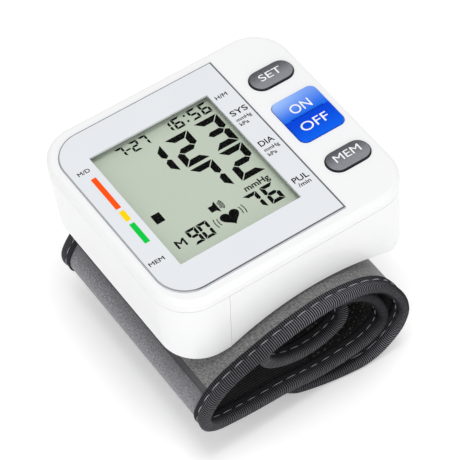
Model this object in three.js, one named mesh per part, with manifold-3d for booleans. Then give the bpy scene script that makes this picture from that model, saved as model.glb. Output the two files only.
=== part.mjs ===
// Wrist blood pressure monitor with its cuff rolled up under it.
// Millimetres, +Z up. X runs along the printed text, Y from the near edge to the far edge of the face.
// While it is built, x = 0 and y = 0 are the middle of the case and z = 0 is the table.

import * as THREE from 'three';
import { mergeVertices } from 'three/addons/utils/BufferGeometryUtils.js';
import Module from 'manifold-3d';

const wasm = await Module();
wasm.setup();

// Driving dimensions. The case is as large as what it holds, so its own length, width and height follow
// from these.

const cellRadius = 5.25;
const cellLength = 44.5;
const cellGap = 0.2;
const cellInset = 9.4;
const cellDrop = 2.25;
const contactDepth = 2.1;
const trayWall = 1.5;
const trayFloor = 1.1;
const trayFoot = 0.95;
const postMargin = 0.95;
const bossRadius = 2.8;
const leftScrewInset = 5.4;
const displayThickness = 2.8;
const strapHeight = 1.9;
const boardThickness = 1.6;
const sensorMargin = 1.55;
const sensorSize = 7;
const sensorSpan = 11.5;
const airSpan = 17;
const pumpInset = 15;
const caseCorner = 11.3;
const caseWall = 2.2;
const lidDepth = 3.6;
const topRound = 1.6;
const bottomRound = 3.4;
const endLean = 2;
const endCoverLength = 16.7;
const saddleDepth = 6.3;
const saddleMargin = 6.3;
const saddleOverlap = 0.4;
const saddleClearance = 0.4;
const rollWidth = 70;
const rollHeight = 40.1;
const turnSetback = 3;
const cuffFrontEdge = -43.1;
const cuffBackEdge = 27.9;

// Clearances

const seamGap = 0.3;
const fitGap = 0.3;
const seatGap = 0.05;
const overrun = 1;

// Overall sizes and the case's places

const cellSpacing = 2 * cellRadius + cellGap;
const cellRoom = cellRadius + fitGap;
const pocketEnd = cellLength / 2 + contactDepth;
const caseLength = cellInset + cellSpacing + cellRoom + fitGap
  + sensorMargin + sensorSize + sensorSpan + airSpan + pumpInset;
const caseWidth = 2 * (pocketEnd + trayWall + postMargin + bossRadius + fitGap + leftScrewInset);
const boardDrop = caseWall + fitGap + displayThickness + strapHeight + boardThickness;
const caseHeight = caseWall + trayFoot + trayFloor + fitGap + 2 * cellRadius + cellDrop + boardDrop;
const halfLength = caseLength / 2;
const halfWidth = caseWidth / 2;
const saddleCrown = rollHeight + saddleClearance;
const caseBottom = saddleCrown - saddleDepth;
const coverTop = caseBottom + caseHeight;
const partingHeight = coverTop - lidDepth;
const coverSeam = endCoverLength - halfLength;
const saddleSides = [coverSeam - saddleOverlap, halfLength - saddleMargin];
const saddleCentre = (saddleSides[0] + saddleSides[1]) / 2;
const saddleReach = (saddleSides[1] - saddleSides[0]) / 2;
const saddleRadius = (saddleReach ** 2 + saddleDepth ** 2) / (2 * saddleDepth);
const pumpX = halfLength - pumpInset;
const airX = pumpX - airSpan;
const sensorRight = airX - sensorSpan;

// Solids and meshes

function solidOf(geometry) {
  const bare = geometry.clone();
  bare.deleteAttribute('normal');
  bare.deleteAttribute('uv');
  const merged = mergeVertices(bare);
  return new wasm.Manifold(new wasm.Mesh({
    numProp: 3,
    vertProperties: new Float32Array(merged.attributes.position.array),
    triVerts: new Uint32Array(merged.index.array),
  }));
}

function geometryOf(solid) {
  const mesh = solid.getMesh();
  const geometry = new THREE.BufferGeometry();
  geometry.setAttribute(
    'position', new THREE.BufferAttribute(new Float32Array(mesh.vertProperties), mesh.numProp),
  );
  geometry.setIndex(new THREE.BufferAttribute(new Uint32Array(mesh.triVerts), 1));
  const flat = geometry.toNonIndexed();
  flat.computeVertexNormals();
  return flat;
}

const cut = (solid, ...tools) => tools.reduce((left, tool) => left.subtract(tool), solid);
const join = (solid, ...others) => others.reduce((whole, other) => whole.add(other), solid);

// A box from its low and high corners.
function block(low, high) {
  const size = high.map((value, axis) => value - low[axis]);
  const geometry = new THREE.BoxGeometry(...size);
  geometry.translate(...low.map((value, axis) => value + size[axis] / 2));
  return solidOf(geometry);
}

// A round bar from one point to another.
function rod(radius, from, to, sides = 20, endRadius = radius) {
  const start = new THREE.Vector3(...from);
  const span = new THREE.Vector3(...to).sub(start);
  const geometry = new THREE.CylinderGeometry(endRadius, radius, span.length(), sides);
  const turn = new THREE.Quaternion().setFromUnitVectors(
    new THREE.Vector3(0, 1, 0), span.clone().normalize(),
  );
  geometry.applyQuaternion(turn);
  geometry.translate(...start.addScaledVector(span, 1 / 2).toArray());
  return solidOf(geometry);
}

// A rounded rectangle in plan, given by its sides and four corner radii from the near left one round.
function plate(sides, corners, low, high, steps = 6) {
  const [left, right, near, far] = sides;
  const centres = [[left, near, 1, 1], [right, near, -1, 1], [right, far, -1, -1], [left, far, 1, -1]];
  const shape = new THREE.Shape();
  centres.forEach(([x, y, inX, inY], corner) => {
    const radius = corners[corner];
    const start = Math.PI + corner * Math.PI / 2;
    const count = radius > 0 ? steps : 0;
    for (let step = 0; step <= count; step += 1) {
      const angle = start + (count ? step / count : 0) * Math.PI / 2;
      const px = x + inX * radius + radius * Math.cos(angle);
      const py = y + inY * radius + radius * Math.sin(angle);
      if (corner === 0 && step === 0) {
        shape.moveTo(px, py);
      } else {
        shape.lineTo(px, py);
      }
    }
  });
  const geometry = new THREE.ExtrudeGeometry(shape, { depth: high - low, bevelEnabled: false });
  geometry.translate(0, 0, low);
  return solidOf(geometry);
}

const monitor = new THREE.Group();

function addPiece(group, name, solid, look) {
  const mesh = new THREE.Mesh(geometryOf(solid), new THREE.MeshStandardMaterial(look));
  mesh.name = name;
  group.add(mesh);
  return mesh;
}

// Finishes

const whitePlastic = { color: 0xf4f5f7, roughness: 0.28, metalness: 0 };
const silverPrint = { color: 0xe2e6ea, roughness: 0.3, metalness: 0.15 };
const clearAcrylic = { color: 0xdfe6e2, roughness: 0.08, metalness: 0 };
const displayGreen = { color: 0xc0cbba, roughness: 0.25, metalness: 0 };
const darkButton = { color: 0x6b6d72, roughness: 0.35, metalness: 0.4 };
const blueButton = { color: 0x0b56e0, roughness: 0.3, metalness: 0 };
const boardGreen = { color: 0x1f6b3a, roughness: 0.5, metalness: 0 };
const blackPlastic = { color: 0x1c1d20, roughness: 0.5, metalness: 0 };
const greyPlastic = { color: 0x8d9094, roughness: 0.5, metalness: 0 };
const steel = { color: 0xb9bcc0, roughness: 0.3, metalness: 1 };
const brass = { color: 0xc9a24a, roughness: 0.3, metalness: 1 };
const siliconeTube = { color: 0xd9d9d4, roughness: 0.45, metalness: 0 };
const cellJacket = { color: 0x2a5d9c, roughness: 0.35, metalness: 0.2 };
const greyFabric = { color: 0x77787c, roughness: 0.95, metalness: 0 };
const charcoalTape = { color: 0x45464b, roughness: 0.95, metalness: 0 };
const blackLining = { color: 0x232327, roughness: 0.95, metalness: 0 };
const bladderFilm = { color: 0x9a9a92, roughness: 0.5, metalness: 0 };

// The case's outer form: a rounded block with a round top edge, a leaning left end and a saddle for the wrist

const saddleHeight = x => Math.max(
  caseBottom,
  saddleCrown - saddleRadius + Math.sqrt(saddleRadius ** 2 - (x - saddleCentre) ** 2),
);

// The same form drawn in by an inset makes the hollow. Slices run upwards, each a near side and a far side.
function caseForm(inset) {
  const cornerSteps = 5;
  const sideSteps = 8;
  const roundSteps = 3;
  const low = caseBottom + inset;
  const high = coverTop - inset;
  const topEdge = Math.max(topRound - inset, topRound / 4);
  const bottomEdge = Math.max(bottomRound - inset, bottomRound / 4);
  const corner = caseCorner - inset;
  const slices = [];
  for (let step = 0; step <= roundSteps; step += 1) {
    const angle = step / roundSteps * Math.PI / 2;
    slices.push([low + bottomEdge * (1 - Math.cos(angle)), bottomEdge * (1 - Math.sin(angle))]);
  }
  for (let step = 0; step <= roundSteps; step += 1) {
    const angle = step / roundSteps * Math.PI / 2;
    slices.push([high - topEdge * (1 - Math.sin(angle)), topEdge * (1 - Math.cos(angle))]);
  }
  const rows = slices.map(([z, drawIn]) => {
    const reachX = halfLength - inset - drawIn;
    const reachY = halfWidth - inset - drawIn;
    const radius = corner - drawIn;
    const near = [];
    for (let step = 0; step <= cornerSteps; step += 1) {
      const angle = Math.PI + step / cornerSteps * Math.PI / 2;
      near.push([radius - reachX + radius * Math.cos(angle), radius - reachY + radius * Math.sin(angle)]);
    }
    for (let step = 1; step < sideSteps; step += 1) {
      near.push([(reachX - radius) * (2 * step / sideSteps - 1), -reachY]);
    }
    for (let step = 0; step <= cornerSteps; step += 1) {
      const angle = -Math.PI / 2 + step / cornerSteps * Math.PI / 2;
      near.push([reachX - radius + radius * Math.cos(angle), radius - reachY + radius * Math.sin(angle)]);
    }
    const fall = Math.max(0, (partingHeight - z) / (partingHeight - low));
    const bent = near.map(([x, y]) => {
      const toEnd = Math.max(0, (coverSeam - x) / (coverSeam + halfLength));
      const lift = (saddleHeight(x) - caseBottom) * fall;
      return [x + endLean * fall * toEnd, y, z + lift];
    });
    return [...bent, ...bent.map(([x, y, height]) => [x, -y, height]).reverse()];
  });
  return solidOf(loft(rows));
}

// Joins rows of points into a closed skin. Each end is closed by strips between its near and far halves.
function loft(rows) {
  const count = rows[0].length;
  const positions = rows.flat(2);
  const faces = [];
  for (let row = 0; row < rows.length - 1; row += 1) {
    for (let point = 0; point < count; point += 1) {
      const next = (point + 1) % count;
      const a = row * count + point;
      const b = row * count + next;
      faces.push(a, b, b + count, a, b + count, a + count);
    }
  }
  const last = (rows.length - 1) * count;
  for (let point = 0; point < count / 2 - 1; point += 1) {
    const across = count - 1 - point;
    faces.push(point, across, point + 1, point + 1, across, across - 1);
    faces.push(
      last + point, last + point + 1, last + across, last + point + 1, last + across - 1, last + across,
    );
  }
  const geometry = new THREE.BufferGeometry();
  geometry.setAttribute('position', new THREE.BufferAttribute(new Float32Array(positions), 3));
  geometry.setIndex(faces);
  return geometry;
}

const outerForm = caseForm(0);
const innerForm = caseForm(caseWall);
const roomForm = caseForm(caseWall + fitGap);
const innerRoof = coverTop - caseWall;
const reach = caseLength + caseWidth;
const above = height => block([-reach, -reach, height], [reach, reach, reach]);
const below = height => block([-reach, -reach, -reach], [reach, reach, height]);
const leftOf = x => block([-reach, -reach, -reach], [x, reach, reach]);
const rightOf = x => block([x, -reach, -reach], [reach, reach, reach]);

// Face layout, as seen from above

const panelRise = 0.4;
const panelThickness = 0.8;
const panelMargin = 2.7;
const panelBand = 3.8;
const buttonLand = 21.5;
const panelCorner = 9.2;
const windowMargin = 7.9;
const legendMargin = 7.5;
const legendBand = 9.45;
const windowOffset = 0.15;
const windowGlassThickness = 1.1;
const buttonRise = 0.6;
const buttonTravel = 0.5;
const buttonInset = 10.5;
const pillLength = 13.5;
const pillWidth = 7;
const pillOffset = 17.8;
const powerLength = 14.6;
const powerWidth = 16.5;
const powerCorner = 2.2;
const powerOffset = 0.55;

const grown = ([left, right, near, far], by) => [left - by, right + by, near - by, far + by];
const around = (x, y, length, width) => [x - length / 2, x + length / 2, y - width / 2, y + width / 2];
const rounded = radius => [radius, radius, radius, radius];
const panelTop = coverTop + panelRise;
const panelLeft = panelMargin - halfLength;
const panelLength = caseLength - panelMargin - buttonLand;
const panelWidth = caseWidth - 2 * panelBand;
const windowLength = panelLength - windowMargin - legendMargin;
const windowWidth = panelWidth - 2 * legendBand;
const panelSides = [panelLeft, panelLeft + panelLength, -panelWidth / 2, panelWidth / 2];
const windowLeft = panelLeft + windowMargin;
const windowSides = around(windowLeft + windowLength / 2, windowOffset, windowLength, windowWidth);
const buttonTop = coverTop + buttonRise;
const buttonColumn = halfLength - buttonInset;

const buttons = [
  {
    name: 'set', y: pillOffset, length: pillLength, width: pillWidth, corner: pillWidth / 2, look: darkButton,
  },
  {
    name: 'power',
    y: powerOffset,
    length: powerLength,
    width: powerWidth,
    corner: powerCorner,
    look: blueButton,
  },
  {
    name: 'memory',
    y: -pillOffset,
    length: pillLength,
    width: pillWidth,
    corner: pillWidth / 2,
    look: darkButton,
  },
];

// Heights inside the case, from the face down

const panelSeat = panelTop - panelThickness - fitGap;
const glassTop = innerRoof - fitGap;
const displayMargin = 3;
const boardTop = glassTop - displayThickness - strapHeight;
const boardUnder = boardTop - boardThickness;

// Screws, all of one kind: a low head and a plain shank that stands for the thread

const screwShank = 1;
const screwHead = 2.2;
const screwHeadHeight = 1.4;
const screwHole = screwShank + fitGap;

function screw(x, y, headUnder, tip) {
  const up = tip > headUnder;
  const headEnd = up ? headUnder - screwHeadHeight : headUnder + screwHeadHeight;
  const slotDepth = screwHeadHeight / 3;
  const slotWidth = screwShank / 2;
  const slotTop = up ? headEnd + slotDepth : headEnd + overrun;
  const slotLow = up ? headEnd - overrun : headEnd - slotDepth;
  const body = join(
    rod(screwHead, [x, y, headUnder], [x, y, headEnd], 12),
    rod(screwShank, [x, y, (headUnder + headEnd) / 2], [x, y, tip], 8),
  );
  return cut(
    body,
    block([x - screwHead * 2, y - slotWidth / 2, slotLow], [x + screwHead * 2, y + slotWidth / 2, slotTop]),
  );
}

// Top cover: the lid of the case, with the panel's recess, the display opening and the button openings

const rightScrewInset = 7.3;
const screwFromSeam = 5.8;
const screwFromEnd = 8;
const boardScrewFromPanel = 0.5;
const boardScrewInset = 10.5;
const caseScrewPlaces = [-1, 1].flatMap(side => [
  [coverSeam + screwFromSeam, side * (halfWidth - leftScrewInset)],
  [halfLength - screwFromEnd, side * (halfWidth - rightScrewInset)],
]);
const caseBossDrop = 10.1;
const caseBossEnd = innerRoof - caseBossDrop;
const boardScrewPlaces = [-1, 1].map(
  side => [panelSides[1] + boardScrewFromPanel, side * (halfWidth - boardScrewInset)],
);
const panelRecess = plate(
  grown(panelSides, fitGap), [panelCorner, 0, 0, panelCorner], panelSeat, coverTop + overrun,
);
const displayOpening = plate(
  grown(windowSides, displayMargin / 2), rounded(0), innerRoof - overrun, coverTop + overrun,
);
const buttonOpenings = buttons.map(({ y, length, width, corner }) => plate(
  grown(around(buttonColumn, y, length, width), fitGap), rounded(corner + fitGap),
  innerRoof - overrun, coverTop + overrun,
));
const caseBosses = caseScrewPlaces.map(
  ([x, y]) => rod(bossRadius, [x, y, caseBossEnd], [x, y, innerRoof + overrun]),
);
const boardBosses = boardScrewPlaces.map(
  ([x, y]) => rod(bossRadius, [x, y, boardTop + seatGap], [x, y, innerRoof + overrun]),
);
const caseScrewTip = innerRoof - fitGap;
const pilotHoles = [
  ...caseScrewPlaces.map(([x, y]) => rod(screwHole, [x, y, caseBossEnd - overrun], [x, y, innerRoof])),
  ...boardScrewPlaces.map(([x, y]) => rod(screwHole, [x, y, boardTop - overrun], [x, y, innerRoof])),
];
const topShell = cut(outerForm, innerForm).intersect(above(partingHeight + seamGap / 2));
const topCover = cut(
  join(topShell, ...caseBosses, ...boardBosses),
  panelRecess,
  displayOpening,
  ...buttonOpenings,
  ...pilotHoles,
);
addPiece(monitor, 'top_cover', topCover, whitePlastic);

// Lower case: the deep tray with the wrist saddle under it, screw posts and the cuff's holes

const floorAt = x => saddleHeight(x) + caseWall;
const postRadius = bossRadius + fitGap;
const headBore = screwHead + fitGap;
const postTop = caseBossEnd - seatGap;
const headSeat = postTop - caseWall;
const airY = 6;
const airDrop = 4.6;
const airHeight = boardUnder - airDrop;
const nippleRadius = 1.1;
const tubeBore = nippleRadius + fitGap;
const tubeRadius = 2;
const cuffScrewSpread = 12;
const cuffScrewCentre = 3;
const cuffScrewSide = 20;
const cuffScrewPlaces = [-1, 1].flatMap(end => [-1, 1].map(
  side => [cuffScrewCentre + end * cuffScrewSpread, side * cuffScrewSide],
));
const lowerShell = cut(outerForm, innerForm).intersect(below(partingHeight - seamGap / 2));
const posts = caseScrewPlaces.map(([x, y]) => rod(postRadius, [x, y, caseBottom], [x, y, postTop]));
const postsInside = posts.map(post => post.intersect(outerForm));
const headBores = caseScrewPlaces.map(
  ([x, y]) => rod(headBore, [x, y, caseBottom - overrun], [x, y, headSeat]),
);
const postHoles = caseScrewPlaces.map(
  ([x, y]) => rod(screwHole, [x, y, caseBottom], [x, y, postTop + overrun]),
);
const cuffScrewHoles = cuffScrewPlaces.map(
  ([x, y]) => rod(screwHole, [x, y, caseBottom], [x, y, boardUnder]),
);
const airHole = rod(tubeRadius + fitGap, [airX, airY, caseBottom], [airX, airY, boardUnder]);
const lowerCase = cut(
  join(lowerShell.intersect(rightOf(coverSeam + seamGap / 2)), ...postsInside),
  ...headBores,
  ...postHoles,
  ...cuffScrewHoles,
  airHole,
);
addPiece(monitor, 'lower_case', lowerCase, whitePlastic);

// Battery cover: a cap round the left end that slides off, kept straight by two tongues inside the lower case

const tongueRoot = 5;
const tongueLength = 1.8;
const tongueThickness = 1.4;
const tongueFoot = 5.8;
const tongueHeight = 6;
const tongueLow = caseBottom + tongueFoot;
const tongueHigh = tongueLow + tongueHeight;
const tongueOuter = halfWidth - caseWall - fitGap;
const tongueInner = tongueOuter - tongueThickness;
const wallMiddle = halfWidth - caseWall / 2;
const acrossSide = (side, from, to) => [Math.min(side * from, side * to), Math.max(side * from, side * to)];
const tongues = [-1, 1].map(side => {
  const [near, far] = acrossSide(side, tongueInner, tongueOuter);
  return block([coverSeam - tongueRoot, near, tongueLow], [coverSeam + tongueLength, far, tongueHigh]);
});
const tongueRoots = [-1, 1].map(side => {
  const [near, far] = acrossSide(side, tongueInner, wallMiddle);
  return block([coverSeam - tongueRoot, near, tongueLow], [coverSeam - seamGap, far, tongueHigh]);
});
const batteryCover = join(lowerShell.intersect(leftOf(coverSeam - seamGap / 2)), ...tongues, ...tongueRoots);
const batteryCoverGroup = new THREE.Group();
monitor.add(batteryCoverGroup);
addPiece(batteryCoverGroup, 'battery_cover', batteryCover, whitePlastic);

// Face panel: the printed silver sheet, with the clear display window let in behind its opening

const facePanel = cut(
  plate(panelSides, [panelCorner, 0, 0, panelCorner], panelTop - panelThickness, panelTop),
  plate(windowSides, rounded(0), panelTop - panelThickness - overrun, panelTop + overrun),
);
addPiece(monitor, 'face_panel', facePanel, silverPrint);
const windowTop = panelTop - panelThickness - seatGap;
const windowGlass = plate(
  grown(windowSides, displayMargin / 2 - fitGap), rounded(0), windowTop - windowGlassThickness, windowTop,
);
addPiece(monitor, 'display_window', windowGlass, clearAcrylic);

// Display: the glass cell, the frame that holds it on the board and its two rubber contact strips

const displaySides = grown(windowSides, displayMargin);
const frameWall = 1.2;
const frameSides = grown(displaySides, fitGap + frameWall);
const stripWidth = 2;
const stripMargin = 3;
const displayCell = plate(displaySides, rounded(0), glassTop - displayThickness, glassTop);
addPiece(monitor, 'display_cell', displayCell, displayGreen);
const displayFrame = cut(
  plate(frameSides, rounded(0), boardTop + seatGap, glassTop),
  plate(grown(displaySides, fitGap), rounded(0), glassTop - displayThickness - seatGap, glassTop + overrun),
  plate(grown(displaySides, -frameWall), rounded(0), boardTop - overrun, glassTop),
);
addPiece(monitor, 'display_frame', displayFrame, blackPlastic);
[['near_contact_strip', displaySides[2] + stripMargin], ['far_contact_strip', displaySides[3] - stripMargin]]
  .forEach(([name, y]) => addPiece(monitor, name, block(
    [displaySides[0] + stripMargin, y - stripWidth / 2, boardTop + seatGap],
    [displaySides[1] - stripMargin, y + stripWidth / 2, glassTop - displayThickness - seatGap],
  ), greyPlastic));

// Main board, notched round the case screws, with the switches on top and the parts for air under it

const boardInsetLeft = 5;
const boardInsetRight = 3.6;
const boardInsetSide = 8.7;
const notchLength = 8.9;
const notchWidth = 3;
const boardSides = [
  boardInsetLeft - halfLength, halfLength - boardInsetRight,
  boardInsetSide - halfWidth, halfWidth - boardInsetSide,
];
const boardHoles = boardScrewPlaces.map(
  ([x, y]) => rod(screwHole, [x, y, boardUnder - overrun], [x, y, boardTop + overrun]),
);
const boardNotches = [-1, 1].map(side => {
  const [near, far] = acrossSide(side, boardSides[3] - notchWidth, reach);
  return block([boardSides[1] - notchLength, near, boardUnder - overrun], [reach, far, boardTop + overrun]);
});
const mainBoard = cut(
  plate(boardSides, rounded(cellRadius), boardUnder, boardTop), ...boardHoles, ...boardNotches,
);
addPiece(monitor, 'main_board', mainBoard, boardGreen);

// Buttons: each a cap with a flange under the cover and a stem over its switch

const flangeWidth = 1.1;
const flangeThickness = 0.8;
const flangeTop = innerRoof - fitGap;
const capRound = 0.5;
const grooveWidth = 0.5;
const grooveDepth = 0.3;
const switchSize = 6;
const switchBodyHeight = 2.3;
const switchKeyRadius = 1.7;
const switchKeyHeight = 0.9;
const switchTop = boardTop + seatGap + switchBodyHeight + switchKeyHeight;
const stemRadius = 1.6;

buttons.forEach(({ name, y, length, width, corner, look }) => {
  const outline = around(buttonColumn, y, length, width);
  const cap = join(
    plate(outline, rounded(corner), flangeTop - flangeThickness, buttonTop - capRound),
    plate(grown(outline, -capRound), rounded(corner - capRound), flangeTop - flangeThickness, buttonTop),
    plate(grown(outline, flangeWidth), rounded(corner), flangeTop - flangeThickness, flangeTop)
      .intersect(roomForm),
    rod(stemRadius, [buttonColumn, y, switchTop + buttonTravel + fitGap], [buttonColumn, y, flangeTop], 14),
  );
  const groove = block(
    [outline[0] - overrun, y - grooveWidth / 2, buttonTop - grooveDepth],
    [outline[1] + overrun, y + grooveWidth / 2, buttonTop + overrun],
  );
  const group = new THREE.Group();
  monitor.add(group);
  addPiece(group, `${name}_button`, name === 'power' ? cut(cap, groove) : cap, look);
  const half = switchSize / 2;
  const bodyTop = boardTop + seatGap + switchBodyHeight;
  addPiece(monitor, `${name}_switch`, join(
    block([buttonColumn - half, y - half, boardTop + seatGap], [buttonColumn + half, y + half, bodyTop]),
    rod(switchKeyRadius, [buttonColumn, y, bodyTop - switchKeyHeight], [buttonColumn, y, switchTop], 14),
  ), blackPlastic);
});

// Chip and sounder under the board

const chipSize = 12;
const chipHeight = 1.6;
const chipPlace = [-8, -14];
const partTop = boardUnder - seatGap;
addPiece(monitor, 'control_chip', block(
  [chipPlace[0] - chipSize / 2, chipPlace[1] - chipSize / 2, partTop - chipHeight],
  [chipPlace[0] + chipSize / 2, chipPlace[1] + chipSize / 2, partTop],
), blackPlastic);
const sounderRadius = 5;
const sounderHeight = 3.4;
const sounderPlace = [-5, 20];
const sounderPort = 1;
addPiece(monitor, 'sounder', cut(
  rod(sounderRadius, [...sounderPlace, partTop], [...sounderPlace, partTop - sounderHeight], 24),
  rod(
    sounderPort,
    [...sounderPlace, partTop - sounderHeight / 2],
    [...sounderPlace, partTop - sounderHeight - overrun],
    12,
  ),
), blackPlastic);

// Pump: a small motor whose shaft turns an eccentric inside the pump head

const pumpRadius = 5.5;
const pumpHeight = boardUnder - seatGap - fitGap - pumpRadius;
const motorNear = -22;
const headNear = -2.3;
const headFar = 12;
const headDepth = 9.45;
const shaftRadius = 1;
const shaftSocket = 5;
const eccentricRadius = 2.2;
const eccentricThrow = 0.8;
const eccentricNear = 1;
const eccentricFar = 3.5;
const headChamber = eccentricRadius + eccentricThrow + 2 * fitGap;
const nippleLength = 2.4;
const socketNear = headNear - shaftSocket;
addPiece(monitor, 'pump_motor', cut(
  rod(pumpRadius, [pumpX, motorNear, pumpHeight], [pumpX, headNear - seatGap, pumpHeight], 24),
  rod(shaftRadius + fitGap, [pumpX, socketNear, pumpHeight], [pumpX, headNear + overrun, pumpHeight], 16),
), steel);
const chamberFar = eccentricFar + fitGap;
addPiece(monitor, 'pump_head', cut(
  join(
    block(
      [pumpX - pumpRadius, headNear, pumpHeight + pumpRadius - headDepth],
      [pumpX + pumpRadius, headFar, pumpHeight + pumpRadius],
    ),
    rod(nippleRadius, [pumpX, airY, airHeight], [pumpX - pumpRadius - nippleLength, airY, airHeight], 12),
  ),
  rod(headChamber, [pumpX, headNear - overrun, pumpHeight], [pumpX, chamberFar, pumpHeight], 24),
), blackPlastic);
const rotorGroup = new THREE.Group();
rotorGroup.position.set(pumpX, 0, pumpHeight);
monitor.add(rotorGroup);
addPiece(rotorGroup, 'pump_rotor', join(
  rod(shaftRadius, [0, socketNear + fitGap, 0], [0, eccentricFar, 0], 16),
  rod(eccentricRadius, [eccentricThrow, eccentricNear, 0], [eccentricThrow, eccentricFar, 0], 20),
), steel);

// Release valve: a solenoid body with a sprung plunger in its near end

const valveRadius = 3.9;
const valveNear = -24;
const valveFar = -12;
const plungerRadius = 1.3;
const plungerCap = 2.4;
const plungerCapThickness = 0.5;
const plungerTravel = 0.6;
const plungerDepth = 6.7;
const plungerNear = valveNear - plungerTravel - fitGap;
addPiece(monitor, 'release_valve', cut(
  join(
    rod(valveRadius, [airX, valveNear, airHeight], [airX, valveFar, airHeight], 24),
    rod(nippleRadius, [airX, valveFar - overrun, airHeight], [airX, valveFar + nippleLength, airHeight], 12),
  ),
  rod(plungerRadius + fitGap, [airX, valveNear - overrun, airHeight],
    [airX, valveNear + plungerDepth + plungerTravel + fitGap, airHeight], 16),
), steel);
const plungerGroup = new THREE.Group();
monitor.add(plungerGroup);
addPiece(plungerGroup, 'valve_plunger', join(
  rod(plungerRadius, [airX, plungerNear, airHeight], [airX, valveNear + plungerDepth, airHeight], 16),
  rod(plungerCap, [airX, plungerNear - plungerCapThickness, airHeight], [airX, plungerNear, airHeight], 16),
), steel);

// Pressure sensor, air manifold and the four silicone tubes between them

const sensorHeight = 6.45;
addPiece(monitor, 'pressure_sensor', join(
  block(
    [sensorRight - sensorSize, airY - sensorSize / 2, partTop - sensorHeight],
    [sensorRight, airY + sensorSize / 2, partTop],
  ),
  rod(
    nippleRadius, [sensorRight - overrun, airY, airHeight], [sensorRight + nippleLength, airY, airHeight], 12,
  ),
), greyPlastic);
const manifoldLength = 7.2;
const manifoldWidth = 6;
const manifoldHeight = 5;
const manifoldLeft = airX - manifoldLength / 2;
const manifoldRight = airX + manifoldLength / 2;
const manifoldNear = airY - manifoldWidth / 2;
const manifoldFoot = airHeight - manifoldHeight / 2;
const shortNipple = 0.8;
addPiece(monitor, 'air_manifold', join(
  block(
    [manifoldLeft, manifoldNear, manifoldFoot],
    [manifoldRight, airY + manifoldWidth / 2, airHeight + manifoldHeight / 2],
  ),
  rod(
    nippleRadius,
    [manifoldLeft - nippleLength, airY, airHeight],
    [manifoldRight + nippleLength, airY, airHeight],
    12,
  ),
  rod(nippleRadius, [airX, manifoldNear - nippleLength, airHeight], [airX, airY, airHeight], 12),
  rod(nippleRadius, [airX, airY, manifoldFoot - shortNipple], [airX, airY, airHeight], 12),
), greyPlastic);

function sleeve(name, from, to) {
  const along = new THREE.Vector3(...to).sub(new THREE.Vector3(...from)).normalize().multiplyScalar(overrun);
  const before = new THREE.Vector3(...from).sub(along).toArray();
  const after = new THREE.Vector3(...to).add(along).toArray();
  addPiece(monitor, name, cut(rod(tubeRadius, from, to, 16), rod(tubeBore, before, after, 12)), siliconeTube);
}

const cuffTubeFoot = saddleCrown + fitGap;
sleeve(
  'pump_tube', [manifoldRight + seatGap, airY, airHeight], [pumpX - pumpRadius - seatGap, airY, airHeight],
);
sleeve('sensor_tube', [sensorRight + seatGap, airY, airHeight], [manifoldLeft - seatGap, airY, airHeight]);
sleeve('valve_tube', [airX, valveFar + seatGap, airHeight], [airX, manifoldNear - seatGap, airHeight]);
sleeve('cuff_tube', [airX, airY, cuffTubeFoot], [airX, airY, manifoldFoot - seatGap]);

// Batteries: two cells side by side in a tray, with a spring contact and a plate contact each.
// The tray's underside stays clear of the sliding cover's floor.

const cellHeight = boardUnder - cellDrop - cellRadius;
const cellPlaces = [cellInset - halfLength, cellInset - halfLength + cellSpacing];
const cellNubRadius = 1.9;
const cellNubHeight = 0.8;
const contactSize = 7.6;
const contactSheet = 0.4;
const contactBaseRadius = 2.6;
const contactTipRadius = 1.5;
const trayRim = cellHeight + cellRadius - fitGap;
const traySides = [cellPlaces[0] - cellRoom, cellPlaces[1] + cellRoom + fitGap];
const trayUnder = caseBottom + caseWall + trayFoot;
const trayForm = block(
  [traySides[0], -pocketEnd - trayWall, trayUnder], [traySides[1], pocketEnd + trayWall, trayRim],
)
  .intersect(roomForm);
const cellBays = cellPlaces.map(x => join(
  rod(cellRoom, [x, -pocketEnd, cellHeight], [x, pocketEnd, cellHeight], 28),
  block([x - cellRoom, -pocketEnd, cellHeight], [x + cellRoom, pocketEnd, trayRim + overrun]),
));
addPiece(monitor, 'battery_tray', cut(trayForm, ...cellBays), whitePlastic);
cellPlaces.forEach((x, index) => {
  const side = index === 0 ? 1 : -1;
  const cellEnd = cellLength / 2;
  addPiece(monitor, `battery_${index + 1}`, join(
    rod(cellRadius, [x, -side * cellEnd, cellHeight], [x, side * (cellEnd - cellNubHeight), cellHeight], 24),
    rod(cellNubRadius, [x, 0, cellHeight], [x, side * cellEnd, cellHeight], 14),
  ), cellJacket);
  [['spring', -side], ['plate', side]].forEach(([kind, end]) => {
    const back = end * (pocketEnd - seatGap);
    const face = end * (pocketEnd - seatGap - contactSheet);
    const tip = end * (cellEnd + seatGap);
    addPiece(monitor, `battery_${kind}_${index + 1}`, join(
      block([x - contactSize / 2, Math.min(back, face), cellHeight - contactSize / 2],
        [x + contactSize / 2, Math.max(back, face), cellHeight + contactSize / 2]),
      rod(contactBaseRadius, [x, back, cellHeight], [x, tip, cellHeight], 14, contactTipRadius),
    ), kind === 'spring' ? steel : brass);
  });
});

// Cuff: one band of fabric, rolled up. Its course is the band's outer face, from the loose tail at the
// bottom, round the right, over the top under the case, round the left fold and inwards to the curled
// inner end. Each row holds shares of the roll's width, of its height and of how far the inner turns sit
// back.

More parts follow.
